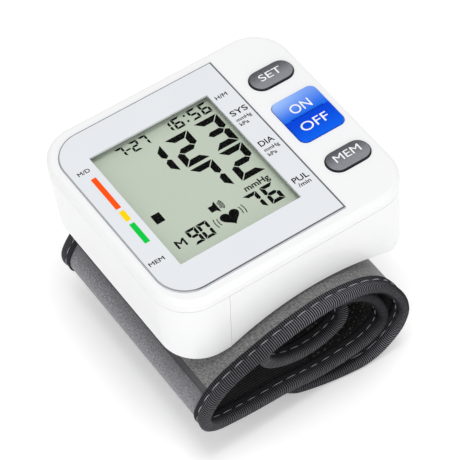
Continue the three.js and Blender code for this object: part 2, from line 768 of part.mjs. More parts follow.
const courseShares = [
  [-0.181, 0.146, 0], [-0.122, 0.06, 0], [-0.05, 0, 0], [0.1, 0, 0], [0.229, 0, 0], [0.307, 0.035, 0],
  [0.376, 0.115, 0], [0.431, 0.222, 0], [0.457, 0.36, 0], [0.449, 0.5, 0], [0.409, 0.668, 0],
  [0.343, 0.828, 0], [0.257, 0.932, 0], [0.157, 0.983, 0], [0.057, 1, 0], [-0.057, 0.978, 0],
  [-0.171, 0.93, 0], [-0.286, 0.863, 0], [-0.379, 0.802, 0], [-0.45, 0.728, 0], [-0.507, 0.621, 0],
  [-0.539, 0.496, 0], [-0.527, 0.384, 0], [-0.477, 0.314, 0], [-0.386, 0.277, 0.03], [-0.264, 0.249, 0.1],
  [-0.129, 0.231, 0.17], [0.029, 0.18, 0.27], [0.171, 0.172, 0.4], [0.279, 0.197, 0.5], [0.351, 0.267, 0.6],
  [0.377, 0.374, 0.67], [0.36, 0.529, 0.67], [0.314, 0.688, 0.7], [0.236, 0.813, 0.77], [0.121, 0.888, 0.8],
  [-0.014, 0.903, 0.87], [-0.129, 0.853, 0.93], [-0.207, 0.768, 1], [-0.233, 0.668, 1], [-0.206, 0.564, 1],
  [-0.123, 0.471, 1], [-0.007, 0.431, 1], [0.1, 0.469, 1], [0.174, 0.559, 1], [0.203, 0.661, 1],
  [0.194, 0.748, 1],
];
const stepsPerShare = 2;
const tapeThickness = 0.4;
const layerGap = 0.15;
const fabricThickness = 0.4;
const bowThickness = 0.4;
const bladderThickness = 0.35;
const liningThickness = 0.35;
const patchThickness = 0.35;
const tapeWidth = 4.75;
const layersWithin = fabricThickness + bowThickness + bladderThickness + liningThickness;
const bandThickness = 2 * tapeThickness + layersWithin + 5 * layerGap;

const courseCurve = new THREE.CatmullRomCurve3(
  courseShares.map(
    ([across, up, back]) => new THREE.Vector3(across * rollWidth, back * turnSetback, up * rollHeight),
  ),
  false,
  'centripetal',
);
const coursePoints = courseCurve.getPoints((courseShares.length - 1) * stepsPerShare)
  .map(point => point.setZ(Math.max(0, point.z)));
const courseNormals = coursePoints.map((point, index) => {
  const ahead = coursePoints[Math.min(index + 1, coursePoints.length - 1)];
  const behind = coursePoints[Math.max(index - 1, 0)];
  return new THREE.Vector3(behind.z - ahead.z, 0, ahead.x - behind.x).normalize();
});

// Runs a section along the course. The section's points are places across the band and depths into it.
function runAlong(section, first, last) {
  const start = first * stepsPerShare;
  const end = last * stepsPerShare;
  const positions = [];
  for (let step = start; step <= end; step += 1) {
    const { x, y: back, z } = coursePoints[step];
    const inward = courseNormals[step];
    section.forEach(
      ([across, depth]) => positions.push(x + inward.x * depth, across + back, z + inward.z * depth),
    );
  }
  const count = section.length;
  const faces = [];
  for (let row = 0; row < end - start; row += 1) {
    for (let point = 0; point < count; point += 1) {
      const a = row * count + point;
      const b = row * count + (point + 1) % count;
      faces.push(a, b, a + count, b, b + count, a + count);
    }
  }
  const lastRow = (end - start) * count;
  THREE.ShapeUtils.triangulateShape(section.map(([across, depth]) => new THREE.Vector2(across, depth)), [])
    .forEach(([a, b, c]) => faces.push(a, c, b, lastRow + a, lastRow + b, lastRow + c));
  const geometry = new THREE.BufferGeometry();
  geometry.setAttribute('position', new THREE.BufferAttribute(new Float32Array(positions), 3));
  geometry.setIndex(faces);
  return solidOf(geometry);
}

const layer = (near, far, depth, thickness) => [
  [near, depth], [far, depth], [far, depth + thickness], [near, depth + thickness],
];
const courseEnd = courseShares.length - 1;
const fabricDepth = tapeThickness + layerGap;
const bowDepth = fabricDepth + fabricThickness + layerGap;
const bladderDepth = bowDepth + bowThickness + layerGap;
const liningDepth = bladderDepth + bladderThickness + layerGap;
const patchDepth = liningDepth + liningThickness + layerGap;
const foldRoom = tapeThickness + layerGap;
const innerNear = cuffFrontEdge + tapeWidth + fitGap;
const innerFar = cuffBackEdge - tapeWidth - fitGap;

// Each edge of the band is bound with a folded tape

const bindTape = (edge, inward) => {
  const lip = edge + inward * tapeWidth;
  const fold = edge + inward * tapeThickness;
  const section = [
    [edge, 0], [lip, 0], [lip, tapeThickness], [fold, tapeThickness],
    [fold, bandThickness - tapeThickness], [lip, bandThickness - tapeThickness],
    [lip, bandThickness], [edge, bandThickness],
  ];
  return inward > 0 ? section : section.reverse();
};
addPiece(monitor, 'front_binding', runAlong(bindTape(cuffFrontEdge, 1), 0, courseEnd), charcoalTape);
addPiece(monitor, 'rear_binding', runAlong(bindTape(cuffBackEdge, -1), 0, courseEnd), charcoalTape);

// Outer fabric, the plastic bow that holds the curve, the air bladder, the lining and the two patches

const bowFirst = 11;
const bowLast = 22;
const bladderFirst = 13;
const bladderLast = 28;
const hookLast = 6;
const loopFirst = 27;
const fabricNear = cuffFrontEdge + foldRoom;
const fabricFar = cuffBackEdge - foldRoom;
const cuffBossRadius = 2;

// The height of the top turn, at a place across the roll and a depth into the band.
function topTurnHeight(x, depth) {
  const turn = coursePoints.slice(bowFirst * stepsPerShare, bowLast * stepsPerShare);
  const after = turn.findIndex(point => point.x <= x);
  const [from, to] = [turn[after - 1], turn[after]];
  const share = (from.x - x) / (from.x - to.x);
  return from.z + (to.z - from.z) * share - depth;
}

const bossTop = x => Math.min(saddleHeight(x - cuffBossRadius), saddleHeight(x + cuffBossRadius)) - seamGap;
const passage = (x, y, radius, depth) => rod(
  radius, [x, y, topTurnHeight(x, depth)], [x, y, saddleCrown], 12,
);
const fabric = runAlong(layer(fabricNear, fabricFar, fabricDepth, fabricThickness), 0, courseEnd);
addPiece(monitor, 'cuff_fabric', cut(
  fabric,
  ...cuffScrewPlaces.map(([x, y]) => passage(x, y, cuffBossRadius + fitGap, liningDepth)),
  passage(airX, airY, nippleRadius + fitGap, liningDepth),
), greyFabric);
const underBow = runAlong(
  layer(innerNear, innerFar, bowDepth + bowThickness, bandThickness), bowFirst, bowLast,
);
const bowBosses = cuffScrewPlaces.map(([x, y]) => cut(
  rod(cuffBossRadius, [x, y, topTurnHeight(x, liningDepth)], [x, y, bossTop(x)], 12),
  underBow,
));
addPiece(monitor, 'cuff_bow', cut(
  join(runAlong(layer(innerNear, innerFar, bowDepth, bowThickness), bowFirst, bowLast), ...bowBosses),
  ...cuffScrewPlaces.map(([x, y]) => passage(x, y, screwHole, liningDepth)),
  passage(airX, airY, nippleRadius + fitGap, liningDepth),
), blackPlastic);

const bladderNippleTop = manifoldFoot - shortNipple - fitGap;
addPiece(monitor, 'air_bladder', join(
  runAlong(layer(innerNear, innerFar, bladderDepth, bladderThickness), bladderFirst, bladderLast),
  rod(
    nippleRadius,
    [airX, airY, topTurnHeight(airX, bladderDepth + bladderThickness / 2)],
    [airX, airY, bladderNippleTop],
    12,
  ),
), bladderFilm);
addPiece(
  monitor,
  'cuff_lining',
  runAlong(layer(fabricNear, fabricFar, liningDepth, liningThickness), 0, courseEnd),
  blackLining,
);
addPiece(
  monitor,
  'hook_patch',
  runAlong(layer(innerNear, innerFar, patchDepth, patchThickness), 0, hookLast),
  blackLining,
);
addPiece(
  monitor,
  'loop_patch',
  runAlong(layer(innerNear, innerFar, patchDepth, patchThickness), loopFirst, courseEnd),
  blackLining,
);

// Fasteners

caseScrewPlaces.forEach(([x, y], index) => {
  addPiece(monitor, `case_screw_${index + 1}`, screw(x, y, headSeat - seatGap, caseScrewTip), steel);
});
boardScrewPlaces.forEach(([x, y], index) => {
  addPiece(monitor, `board_screw_${index + 1}`, screw(x, y, boardUnder - seatGap, caseScrewTip), steel);
});
cuffScrewPlaces.forEach(([x, y], index) => {
  const seat = Math.max(floorAt(x - screwHead), floorAt(x + screwHead)) + seatGap;
  const tip = topTurnHeight(x, bowDepth + bowThickness / 2);
  addPiece(monitor, `cuff_screw_${index + 1}`, screw(x, y, seat, tip), steel);
});

// The finished assembly stands with the middle of its base on the origin

const assembly = new THREE.Group();
assembly.add(monitor);
const extent = new THREE.Box3().setFromObject(assembly);
const middle = extent.getCenter(new THREE.Vector3());
monitor.position.set(-middle.x, -middle.y, -extent.min.z);

export default assembly;
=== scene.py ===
import math
from bisect import bisect_left
from contextlib import contextmanager

import bmesh
import bpy
from mathutils import Matrix, Vector, noise


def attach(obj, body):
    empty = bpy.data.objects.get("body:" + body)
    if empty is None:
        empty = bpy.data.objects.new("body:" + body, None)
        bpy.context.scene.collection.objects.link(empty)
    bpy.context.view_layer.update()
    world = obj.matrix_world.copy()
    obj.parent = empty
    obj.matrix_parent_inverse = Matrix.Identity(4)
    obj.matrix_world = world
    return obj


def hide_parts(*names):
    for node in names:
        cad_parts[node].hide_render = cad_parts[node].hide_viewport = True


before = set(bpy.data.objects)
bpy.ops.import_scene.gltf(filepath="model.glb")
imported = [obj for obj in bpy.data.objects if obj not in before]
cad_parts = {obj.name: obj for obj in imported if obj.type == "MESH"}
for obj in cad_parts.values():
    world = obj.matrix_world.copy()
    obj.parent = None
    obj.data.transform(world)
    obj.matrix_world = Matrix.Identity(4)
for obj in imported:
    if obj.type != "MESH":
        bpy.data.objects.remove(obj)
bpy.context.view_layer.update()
bpy.ops.object.select_all(action="DESELECT")


# The studio. A pale floor that glows a little, as a lit table does, a soft light high overhead, a
# weaker one in front on the left and an even white surround. The camera looks down over the
# display's near left corner, from where the photograph was taken.

def point(x, y, z):
    """A place given in millimetres from the case's middle and from the table."""
    return Vector((x - 0.018, y + 3.902, z)) / 1000


def new_object(name, data):
    """An object put into the scene."""
    piece = bpy.data.objects.new(name, data)
    bpy.context.scene.collection.objects.link(piece)
    return piece


camera = new_object("camera", bpy.data.cameras.new("camera"))
camera.data.sensor_width = 36
camera.data.lens = 187.53
camera_right = Vector((0.82125, -0.57005, -0.02427))
camera_down = Vector((-0.46201, -0.63944, -0.61454))
camera_ahead = Vector((0.33480, 0.51591, -0.78851))
camera_place = point(-221.795, -343.98, 555.71)
camera_turn = Matrix((camera_right, -camera_down, -camera_ahead)).transposed()
camera.matrix_world = Matrix.Translation(camera_place) @ camera_turn.to_4x4()
bpy.context.scene.camera = camera

bpy.ops.mesh.primitive_plane_add(size=8, location=(0, 0, -0.0002))
floor = bpy.context.object
floor.name = "floor"
floor_paint = bpy.data.materials.new("pale_floor")
floor_paint.use_nodes = True
for socket, value in (("Base Color", (0.86, 0.86, 0.86, 1)), ("Emission Color", (1, 1, 1, 1)),
                      ("Emission Strength", 0.25), ("Roughness", 0.75)):
    floor_paint.node_tree.nodes["Principled BSDF"].inputs[socket].default_value = value
floor.data.materials.append(floor_paint)

world = bpy.data.worlds.new("surround")
bpy.context.scene.world = world
world.use_nodes = True
for socket, value in (("Color", (1, 1, 1, 1)), ("Strength", 0.66)):
    world.node_tree.nodes["Background"].inputs[socket].default_value = value


def add_light(name, size, power, place):
    """A square light in metres and watts, turned towards the monitor."""
    bpy.ops.object.light_add(type="AREA", location=place)
    light = bpy.context.object
    light.name = name
    light.data.size = size
    light.data.energy = power
    light.rotation_euler = (Vector((0, 0, 0.03)) - Vector(place)).to_track_quat("-Z", "Y").to_euler()


add_light("key_light", 0.6, 7.9, (-0.03, -0.06, 1.4))
add_light("fill_light", 0.9, 4.4, (-0.45, -1.1, 0.2))
bpy.context.scene.view_settings.view_transform = "Standard"


# The case, in three mouldings of glossy white ABS: a lid, a deep lower case with the wrist's saddle
# under it, and a cap that slides off the left end. All three are cut from one outer form, so that
# they meet in a thin line, and each is hollow with walls of 2.2 mm.

def choose(piece):
    """Makes a piece the only one selected, and the active one."""
    bpy.ops.object.select_all(action="DESELECT")
    piece.select_set(True)
    bpy.context.view_layer.objects.active = piece


@contextmanager
def editing(piece):
    """Opens a piece in edit mode with everything selected, and closes it again."""
    choose(piece)
    bpy.ops.object.mode_set(mode="EDIT")
    bpy.ops.mesh.select_all(action="SELECT")
    yield
    bpy.ops.object.mode_set(mode="OBJECT")
    bpy.ops.object.select_all(action="DESELECT")


def pick(kind, test):
    """In edit mode, selects the points, edges or faces that pass a test."""
    bpy.ops.mesh.select_mode(type=kind)
    bpy.ops.mesh.select_all(action="DESELECT")
    mesh = bpy.context.edit_object.data
    edit = bmesh.from_edit_mesh(mesh)
    for item in {"VERT": edit.verts, "EDGE": edit.edges, "FACE": edit.faces}[kind]:
        item.select_set(test(item))
    edit.select_flush_mode()
    bmesh.update_edit_mesh(mesh)


def upright(edge):
    """A test for edges that stand, or lean as little as the case's flared walls do."""
    first, second = (corner.co for corner in edge.verts)
    return (first - second).xy.length < 0.3 * abs(first.z - second.z)


def level_at(height):
    """A test for edges and faces that lie within 0.05 mm of a height in millimetres."""
    return lambda item: all(abs(corner.co.z * 1000 - height) < 0.05 for corner in item.verts)


def just_made(name):
    """The newest piece, named and with its place, turn and size applied."""
    piece = bpy.context.object
    piece.name = name
    bpy.ops.object.transform_apply(location=True, rotation=True, scale=True)
    return piece


def add_block(name, low, high):
    """A block between two corners, in case millimetres."""
    low, high = point(*low), point(*high)
    bpy.ops.mesh.primitive_cube_add(size=1, location=(low + high) / 2, scale=high - low)
    return just_made(name)


def add_rod(name, radius, low, high, sides=32):
    """A cylinder from one place to another, in case millimetres."""
    start, end = point(*low), point(*high)
    bpy.ops.mesh.primitive_cylinder_add(
        vertices=sides, radius=radius / 1000, depth=(end - start).length, location=(start + end) / 2,
        rotation=(end - start).to_track_quat("Z", "Y").to_euler())
    return just_made(name)


def push_out(x, y, z):
    """In edit mode, pushes the chosen faces out by metres."""
    bpy.ops.mesh.extrude_region_move(TRANSFORM_OT_translate={"value": (x, y, z)})


def round_edges(test, radius, steps):
    """In edit mode, rounds the edges that pass a test."""
    pick("EDGE", test)
    bpy.ops.mesh.bevel(offset=radius / 1000, segments=steps, profile=0.5, clamp_overlap=True)


def add_rods(name, radius, places, low, high, sides=24):
    """Upright cylinders of one kind between two levels."""
    return [add_rod(name, radius, (x, y, low), (x, y, high), sides) for x, y in places]


def add_plate(name, low, high, corner, steps=8):
    """A block with upright corners of one radius."""
    plate = add_block(name, low, high)
    with editing(plate):
        round_edges(upright, corner, steps)
    return plate


def cut_at(place, normal, keep_above=None):
    """In edit mode, cuts across the whole piece and clears the side that isn't kept."""
    bpy.ops.mesh.select_all(action="SELECT")
    bpy.ops.mesh.bisect(plane_co=place, plane_no=normal, clear_inner=keep_above is True,
                        clear_outer=keep_above is False)


def apply(piece, kind, **settings):
    """Adds a modifier, sets it and applies it."""
    choose(piece)
    modifier = piece.modifiers.new(kind.lower(), kind)
    for setting, value in settings.items():
        setattr(modifier, setting, value)
    bpy.ops.object.modifier_apply(modifier=modifier.name)
    piece.select_set(False)


def combine(piece, tools, operation="DIFFERENCE"):
    """Cuts tools out of a piece, or melts them into it, and removes them."""
    for tool in tools:
        apply(piece, "BOOLEAN", operation=operation, object=tool, solver="EXACT")
        bpy.data.objects.remove(tool)


def soften(piece, radius, steps=3):
    """Takes the sharpness off a finished piece's edges and shades it smooth between them."""
    sharpest = math.radians(38)
    if radius:
        apply(piece, "BEVEL", width=radius / 1000, segments=steps, limit_method="ANGLE",
              angle_limit=sharpest, use_clamp_overlap=True)
    choose(piece)
    bpy.ops.object.shade_smooth_by_angle(angle=sharpest)
    apply(piece, "WEIGHTED_NORMAL", keep_sharp=True)


case_top, lid_under, seam_level, seam_under, case_bottom = 60.3, 56.8, 56.7, 56.58, 34.2
left_end, right_end, half_depth = -39, 38.45, 35.3
saddle_x, saddle_level, saddle_radius = 5, -23.55, 64.05
case_form = add_block("case_form", (left_end, -half_depth, case_bottom), (right_end, half_depth, case_top))
with editing(case_form):
    cut_at(point(0, 0, seam_level), (0, 0, 1))
    # Under the seam both ends lean: the left one in and the right one out towards the bottom.
    for side, lean in ((-1, 0.002), (1, 0.001)):
        pick("VERT", lambda corner: corner.co.x * side > 0 and corner.co.z < 0.035)
        bpy.ops.transform.translate(value=(lean, 0, 0))
    round_edges(upright, 11.3, 14)
    round_edges(level_at(case_top), 1.6, 6)
combine(case_form, [add_rod("saddle_tool", saddle_radius, (saddle_x, -45, saddle_level),
                            (saddle_x, 45, saddle_level), 320)])
with editing(case_form):
    round_edges(lambda edge: len(edge.link_faces) == 2
                and min(face.normal.z for face in edge.link_faces) < -0.8
                and max(face.normal.z for face in edge.link_faces) > -0.4, 3.4, 7)


def cut_shell(name, level, keep_above, end=None, keep_right=True):
    """A hollow part of the case's form, above or below a level and to one side of an end."""
    shell = new_object(name, case_form.data.copy())
    with editing(shell):
        cut_at(point(0, 0, level), (0, 0, 1), keep_above)
        if end:
            cut_at(point(end, 0, 0), (1, 0, 0), keep_right)
    apply(shell, "SOLIDIFY", thickness=0.0022, offset=-1, use_even_offset=True)
    return shell


case_screws = [(-16.5, -29.9), (-16.5, 29.9), (31, -28), (31, 28)]
board_screws = [(18, -24.8), (18, 24.8)]
cuff_screws = [(-9, -20), (-9, 20), (15, -20), (15, 20)]
air_hole = (7, 6)

top_cover = cut_shell("top_cover_shell", lid_under, True)
combine(top_cover, add_rods("boss", 2.8, case_screws, 48, 59) + add_rods("boss", 2.8, board_screws, 53.2, 59),
        "UNION")


def left_corner(edge):
    """A test for the upright edges on the left, where the panel's corners are round."""
    return upright(edge) and edge.verts[0].co.x < 0


recess_tool = add_block("recess_tool", (-36.5, -31.7, 59.6), (17.7, 31.7, 64))
with editing(recess_tool):
    round_edges(left_corner, 9.4, 14)
combine(top_cover, [recess_tool, add_block("display_tool", (-29.9, -23.4, 50), (11.6, 23.7, 64))])
combine(top_cover, [
    add_plate("opening_tool", (21.5, 14.0, 50), (35.5, 21.6, 64), 3.79),
    add_plate("opening_tool", (21.5, -21.6, 50), (35.5, -14.0, 64), 3.79),
    add_plate("opening_tool", (21.05, -7.85, 50), (35.95, 8.95, 64), 2.35),
] + add_rods("pilot_tool", 1.3, case_screws + board_screws, 46, 58, 16))

lower_case = cut_shell("lower_case_shell", seam_under, False, -22.25, True)
combine(lower_case, add_rods("post", 3.1, case_screws, 38, 47.95), "UNION")
combine(lower_case, add_rods("head_tool", 2.5, case_screws, 30, 45.75)
        + add_rods("pilot_tool", 1.3, case_screws, 44, 50, 16)
        + add_rods("cuff_tool", 1.3, cuff_screws, 30, 50, 16) + add_rods("air_tool", 2.3, [air_hole], 30, 50))

battery_cover = cut_shell("battery_cover_shell", seam_under, False, -22.35, False)
tongues = []
for way in (-1, 1):
    for inner, outer, tip in ((31.4, 32.8, -20.5), (32.5, 33.6, -22.6)):
        near, far = sorted((way * inner, way * outer))
        tongues.append(add_block("tongue", (-27.3, near, 40), (tip, far, 46)))
combine(battery_cover, tongues, "UNION")
bpy.data.objects.remove(case_form)


def maths(operation, swapped=False):
    """An operator that adds a Math node."""
    def operator(value, other):
        first, second = (other, value) if swapped else (value, other)
        return value.look.node("ShaderNodeMath", {"operation": operation}, {0: first, 1: second})
    return operator


class Value:
    """A number that changes over a surface. An expression on it adds Math nodes."""
    __add__ = __radd__ = maths("ADD")
    __mul__ = __rmul__ = maths("MULTIPLY")
    __sub__, __rsub__ = maths("SUBTRACT"), maths("SUBTRACT", True)
    __pow__, __mod__, __or__ = maths("POWER"), maths("FLOORED_MODULO"), maths("MAXIMUM")
    __lt__, __gt__ = maths("LESS_THAN"), maths("GREATER_THAN")

    def __init__(self, look, socket):
        self.look = look
        self.socket = socket


class Look:
    """A finish in the making: a material, its shader and what feeds it."""

    def __init__(self, name, **constants):
        self.material = bpy.data.materials.new(name)
        self.material.use_nodes = True
        self.tree = self.material.node_tree
        self.shader = self.tree.nodes["Principled BSDF"]
        for socket, value in constants.items():
            self.set(socket.replace("_", " "), value)

    def set(self, socket, value):
        self.feed(self.shader.inputs[socket], value)

    def feed(self, socket, value):
        """Links a value to a socket, or sets the socket's constant."""
        if isinstance(value, Value):
            self.tree.links.new(value.socket, socket)
        elif socket.type == "RGBA":
            socket.default_value = (*value, 1)
        else:
            socket.default_value = value

    def node(self, kind, settings=None, inputs=None, output=0):
        """Any other node, from its type, its settings and its sockets' values or links."""
        node = self.tree.nodes.new(kind)
        for setting, value in (settings or {}).items():
            setattr(node, setting, value)
        for socket, value in (inputs or {}).items():
            self.feed(node.inputs[socket], value)
        return Value(self, node.outputs[output])

    def place(self, output="Object"):
        """The place on the piece, or another output of its coordinates."""
        return self.node("ShaderNodeTexCoord", None, None, output)

    def axis(self, axis, output="Object"):
        """One part of the place on the piece, or of another output of its coordinates."""
        return self.node("ShaderNodeSeparateXYZ", None, {0: self.place(output)}, axis)

    def noise(self, size, detail=2, output="Object", vector=None):
        """Soft random patches of a size in metres, from 0 to 1."""
        return self.node("ShaderNodeTexNoise", None, {
            "Vector": vector or self.place(output), "Scale": 1 / size, "Detail": detail}, "Fac")

    def blend(self, share, first, second):
        """One colour where share is 0, another where it is 1."""
        return self.node("ShaderNodeMix", {"data_type": "RGBA"}, {"Factor": share, 6: first, 7: second}, 2)

    def ramp(self, value, start, end, least=0, most=1, kind="SMOOTHSTEP"):
        """Goes from least to most while a value goes from start to end."""
        return self.node("ShaderNodeMapRange", {"interpolation_type": kind}, {
            "Value": value, "From Min": start, "From Max": end, "To Min": least, "To Max": most})

    def near(self, value, middle, reach):
        """1 where a value is within reach of its middle, or else 0."""
        return self.node("ShaderNodeMath", {"operation": "COMPARE"}, {0: value, 1: middle, 2: reach})

    def waves(self, direction, pitch, **settings):
        """Parallel ridges on the cloth's map, a pitch in metres apart, from 0 to 1."""
        return self.node("ShaderNodeTexWave", {"wave_type": "BANDS", "bands_direction": direction}, {
            "Vector": self.place("UV"), "Scale": math.pi / 10 / pitch,
            **{socket.replace("_", " "): value for socket, value in settings.items()}}, "Fac")

    def paint(self, share, first, second):
        """The base colour, from one colour where share is 0 to another where it is 1."""
        self.set("Base Color", self.blend(share, first, second))

    def mottle(self, size, first, second):
        """The base colour wanders between two colours in soft patches."""
        self.paint(self.noise(size), first, second)

    def roughen(self, least, spread, size):
        """The roughness wanders over a spread in soft patches."""
        self.set("Roughness", least + spread * self.noise(size))

    def relief(self, height, depth):
        """Raises the surface by height times a depth in metres."""
        self.set("Normal", self.node("ShaderNodeBump", None, {
            "Strength": 1, "Distance": depth, "Height": height}))

    def grain(self, size, depth):
        """Raises the surface in soft patches."""
        self.relief(self.noise(size), depth)


white_abs = Look("white_abs", IOR=1.5, Coat_Weight=0.25, Coat_Roughness=0.12)
moulding_skin = white_abs.noise(0.0007)
white_abs.mottle(0.03, (0.836, 0.838, 0.844), (0.85, 0.852, 0.857))
white_abs.set("Roughness", 0.26 + 0.1 * moulding_skin)
white_abs.relief(moulding_skin, 0.00002)


def dress(piece, look, node, body="housing"):
    """Gives a new piece its finish and its body, and hides the solid that it stands for."""
    piece.data.materials.clear()
    piece.data.materials.append(look.material)
    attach(piece, body)
    if node:
        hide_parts(node)


for piece, node, body in ((top_cover, "top_cover", "housing"), (lower_case, "lower_case", "housing"),
                          (battery_cover, "battery_cover", "battery_door")):
    soften(piece, 0.12)
    dress(piece, white_abs, node, body)


# The face panel. A clear sheet printed silver-grey on its back and laid in a shallow recess of the
# lid, with square corners towards the buttons and round ones on the left. A thin dark line along its
# border is painted shade, standing for the shadow in the gap between the panel and the lid.

face_panel = add_block("face_panel_sheet", (-36.42, -31.62, 59.9), (17.62, 31.62, 60.7))
with editing(face_panel):
    round_edges(left_corner, 9.3, 14)
combine(face_panel, [add_block("window_tool", (-28.4, -21.9, 55), (10.0, 22.2, 64))])
soften(face_panel, 0.08)
silver_print = Look("silver_print", Coat_Weight=0.4, Coat_Roughness=0.05)
silver_print.mottle(0.02, (0.71, 0.737, 0.772), (0.74, 0.76, 0.787))
silver_print.roughen(0.18, 0.06, 0.004)
dress(face_panel, silver_print, "face_panel")

# Painted shade: a thin dark ring along the panel's edge stands for the shadow in the gap round it, painted
# darker along the right and front edges.
border = add_block("panel_border", (-36.4, -31.6, 60.6), (17.6, 31.6, 60.72))
inner = add_block("border_tool", (-36.12, -31.12, 60), (17.15, 31.32, 61))
for plate, radius in ((border, 9.28), (inner, 9.04)):
    with editing(plate):
        round_edges(left_corner, radius, 14)
combine(border, [inner])
panel_gap_shade = Look("panel_gap_shade", Roughness=0.4)
shaded = (panel_gap_shade.axis(0) > 0.01705) | (panel_gap_shade.axis(1) < -0.02715)
panel_gap_shade.paint(shaded * (0.8 + 0.2 * panel_gap_shade.noise(0.006)), (0.25, 0.255, 0.27), (0.09, 0.095, 0.11))
dress(border, panel_gap_shade, None)


# What is printed on the panel, in screen ink that stands a few hundredths of a millimetre proud:
# the legends beside the display and the three bars of the pressure scale.

def add_words(words, left, low, right, high, level, swell=0):
    """Lettering fitted to a box in case millimetres, standing on a level."""
    bpy.ops.object.text_add()
    label = bpy.context.object
    label.data.body = words
    label.data.extrude = 1
    label.data.bevel_depth = swell
    label.data.bevel_resolution = 0
    bpy.ops.object.convert(target="MESH")
    corners = [corner.co for corner in label.data.vertices]
    least = Vector(min(corner[axis] for corner in corners) for axis in range(3))
    most = Vector(max(corner[axis] for corner in corners) for axis in range(3))
    sunk, proud = 0.01, 0.03
    low_end, high_end = point(left, low, level - sunk), point(right, high, level + proud)
    label.scale = [(high_end - low_end)[axis] / (most - least)[axis] for axis in range(3)]
    label.location = low_end - Vector(least[axis] * label.scale[axis] for axis in range(3))
    bpy.ops.object.transform_apply(location=True, rotation=True, scale=True)
    label.select_set(False)
    return label


def join_as(name, parts):
    """Pieces joined into one mesh under a name."""
    bpy.ops.object.select_all(action="DESELECT")
    for part in parts:
        part.select_set(True)
    bpy.context.view_layer.objects.active = parts[0]
    bpy.ops.object.join()
    parts[0].name = name
    parts[0].select_set(False)
    return parts[0]


legend_ink = Look("legend_ink", Roughness=0.6, Specular_IOR_Level=0.1)
legend_ink.mottle(0.003, (0.006, 0.006, 0.008), (0.02, 0.02, 0.022))
legends = join_as("panel_legends", [add_words(words, *box, 60.7, 0.012) for words, *box in (
    ("M/D", -34.1, 18.1, -30.45, 19.45), ("MEM", -35.3, -18.1, -30.65, -16.8),
    ("H/M", 11.1, 18.9, 14.8, 20.25), ("SYS", 11.2, 11.45, 16.5, 13.4),
    ("mmHg", 11.25, 8.8, 16.0, 10.35), ("kPa", 11.25, 7.35, 14.0, 8.6),
    ("DIA", 11.3, -1.8, 15.9, 0.15), ("mmHg", 11.3, -4.3, 16.0, -2.7), ("kPa", 11.3, -5.8, 14.0, -4.55),
    ("PUL", 11.2, -17.45, 16.1, -15.55), ("/min", 11.6, -19.3, 15.5, -17.85))])
dress(legends, legend_ink, None)

for name, low, high, colour in (("high_bar", 3.0, 15.55, (0.97, 0.085, 0.002)),
                                ("middle_bar", -1.9, 1.9, (0.97, 0.66, 0.0)),
                                ("normal_bar", -10.85, -3.15, (0.0, 0.58, 0.055))):
    bar = add_plate(f"{name}_print", (-32.15, low, 60.69), (-30.55, high, 60.735), 0.12, 3)
    ink = Look(f"{name}_ink", Roughness=0.7, Specular_IOR_Level=0.1)
    ink.mottle(0.004, colour, tuple(0.9 * part for part in colour))
    dress(bar, ink, None)


# The display. A reflective grey-green liquid crystal cell between two glasses lies under a clear
# acrylic window. Its dark segments are modelled as thin plates on the upper glass.

window = add_block("window_plate", (-29.6, -23.1, 58.75), (11.2, 23.4, 59.85))
soften(window, 0.1)
clear_acrylic = Look("clear_acrylic", Base_Color=(0.02, 0.023, 0.021), Alpha=0.03, Specular_IOR_Level=0.3)
clear_acrylic.roughen(0.03, 0.03, 0.01)
dress(window, clear_acrylic, "display_window")

lower_glass = 56.4
cell = add_block("display_glasses", (-31.4, -24.9, 55.0), (13.0, 25.2, lower_glass))
with editing(cell):
    pick("FACE", level_at(lower_glass))
    bpy.ops.mesh.inset(thickness=0.0008)
    push_out(0, 0, 0.0014)
soften(cell, 0.1)
display_glass = Look("display_glass", Roughness=0.35)
display_glass.mottle(0.015, (0.535, 0.605, 0.497), (0.555, 0.625, 0.517))
display_glass.grain(0.0004, 0.000005)
dress(cell, display_glass, "display_cell")


def curve_mesh(curve):
    """Turns a curve into a mesh piece and chooses it."""
    piece = new_object(curve.name, curve)
    choose(piece)
    bpy.ops.object.convert(target="MESH")
    return piece


def add_flat(name, outlines, level, rise):
    """Flat plates from closed outlines in case millimetres, as a filled curve made a mesh."""
    curve = bpy.data.curves.new(name, "CURVE")
    curve.dimensions = "2D"
    curve.fill_mode = "BOTH"
    curve.extrude = rise / 2000
    for outline in outlines:
        spline = curve.splines.new("POLY")
        spline.points.add(len(outline) - 1)
        for corner, (x, y) in zip(spline.points, outline):
            corner.co = (*point(x, y, 0).xy, 0, 1)
        spline.use_cyclic_u = True
    flat = curve_mesh(curve)
    flat.location.z = (level + rise / 2) / 1000
    bpy.ops.object.transform_apply(location=True, rotation=True, scale=True)
    flat.select_set(False)
    return flat


def digit_bars(figure, left, low, right, high, thick, gap):
    """The outlines of one seven-bar figure in its box. The bars are lettered as is usual: a on top,
    on from there clockwise to f, and g across the middle."""
    wide, tall, middle, half = right - left, high - low, (high - low) / 2, thick / 2
    inner_right, inner_top = wide - thick, tall - thick
    bars = {
        "a": [(gap, tall), (wide - gap, tall), (inner_right - gap, inner_top), (gap + thick, inner_top)],
        "g": [(half + gap, middle), (thick + gap, middle + half), (inner_right - gap, middle + half),
              (wide - half - gap, middle), (inner_right - gap, middle - half), (thick + gap, middle - half)],
        "b": [(wide, tall - gap), (wide, middle + gap + 0.3 * thick), (wide - half, middle + gap),
              (inner_right, middle + gap + half), (inner_right, inner_top - gap)],
    }
    for bar, source, mirrored, turned_over in (("c", "b", False, True), ("d", "a", False, True),
                                               ("e", "b", True, True), ("f", "b", True, False)):
        bars[bar] = [(wide - x if mirrored else x, tall - y if turned_over else y) for x, y in bars[source]]
    lit = {"0": "adbcfe", "1": "bc", "2": "abged", "3": "abgcd", "5": "afgcd", "6": "afgecd", "7": "abc",
           "9": "afbgcd"}[figure]
    return [[(left + x, low + y) for x, y in bars[bar]] for bar in lit]


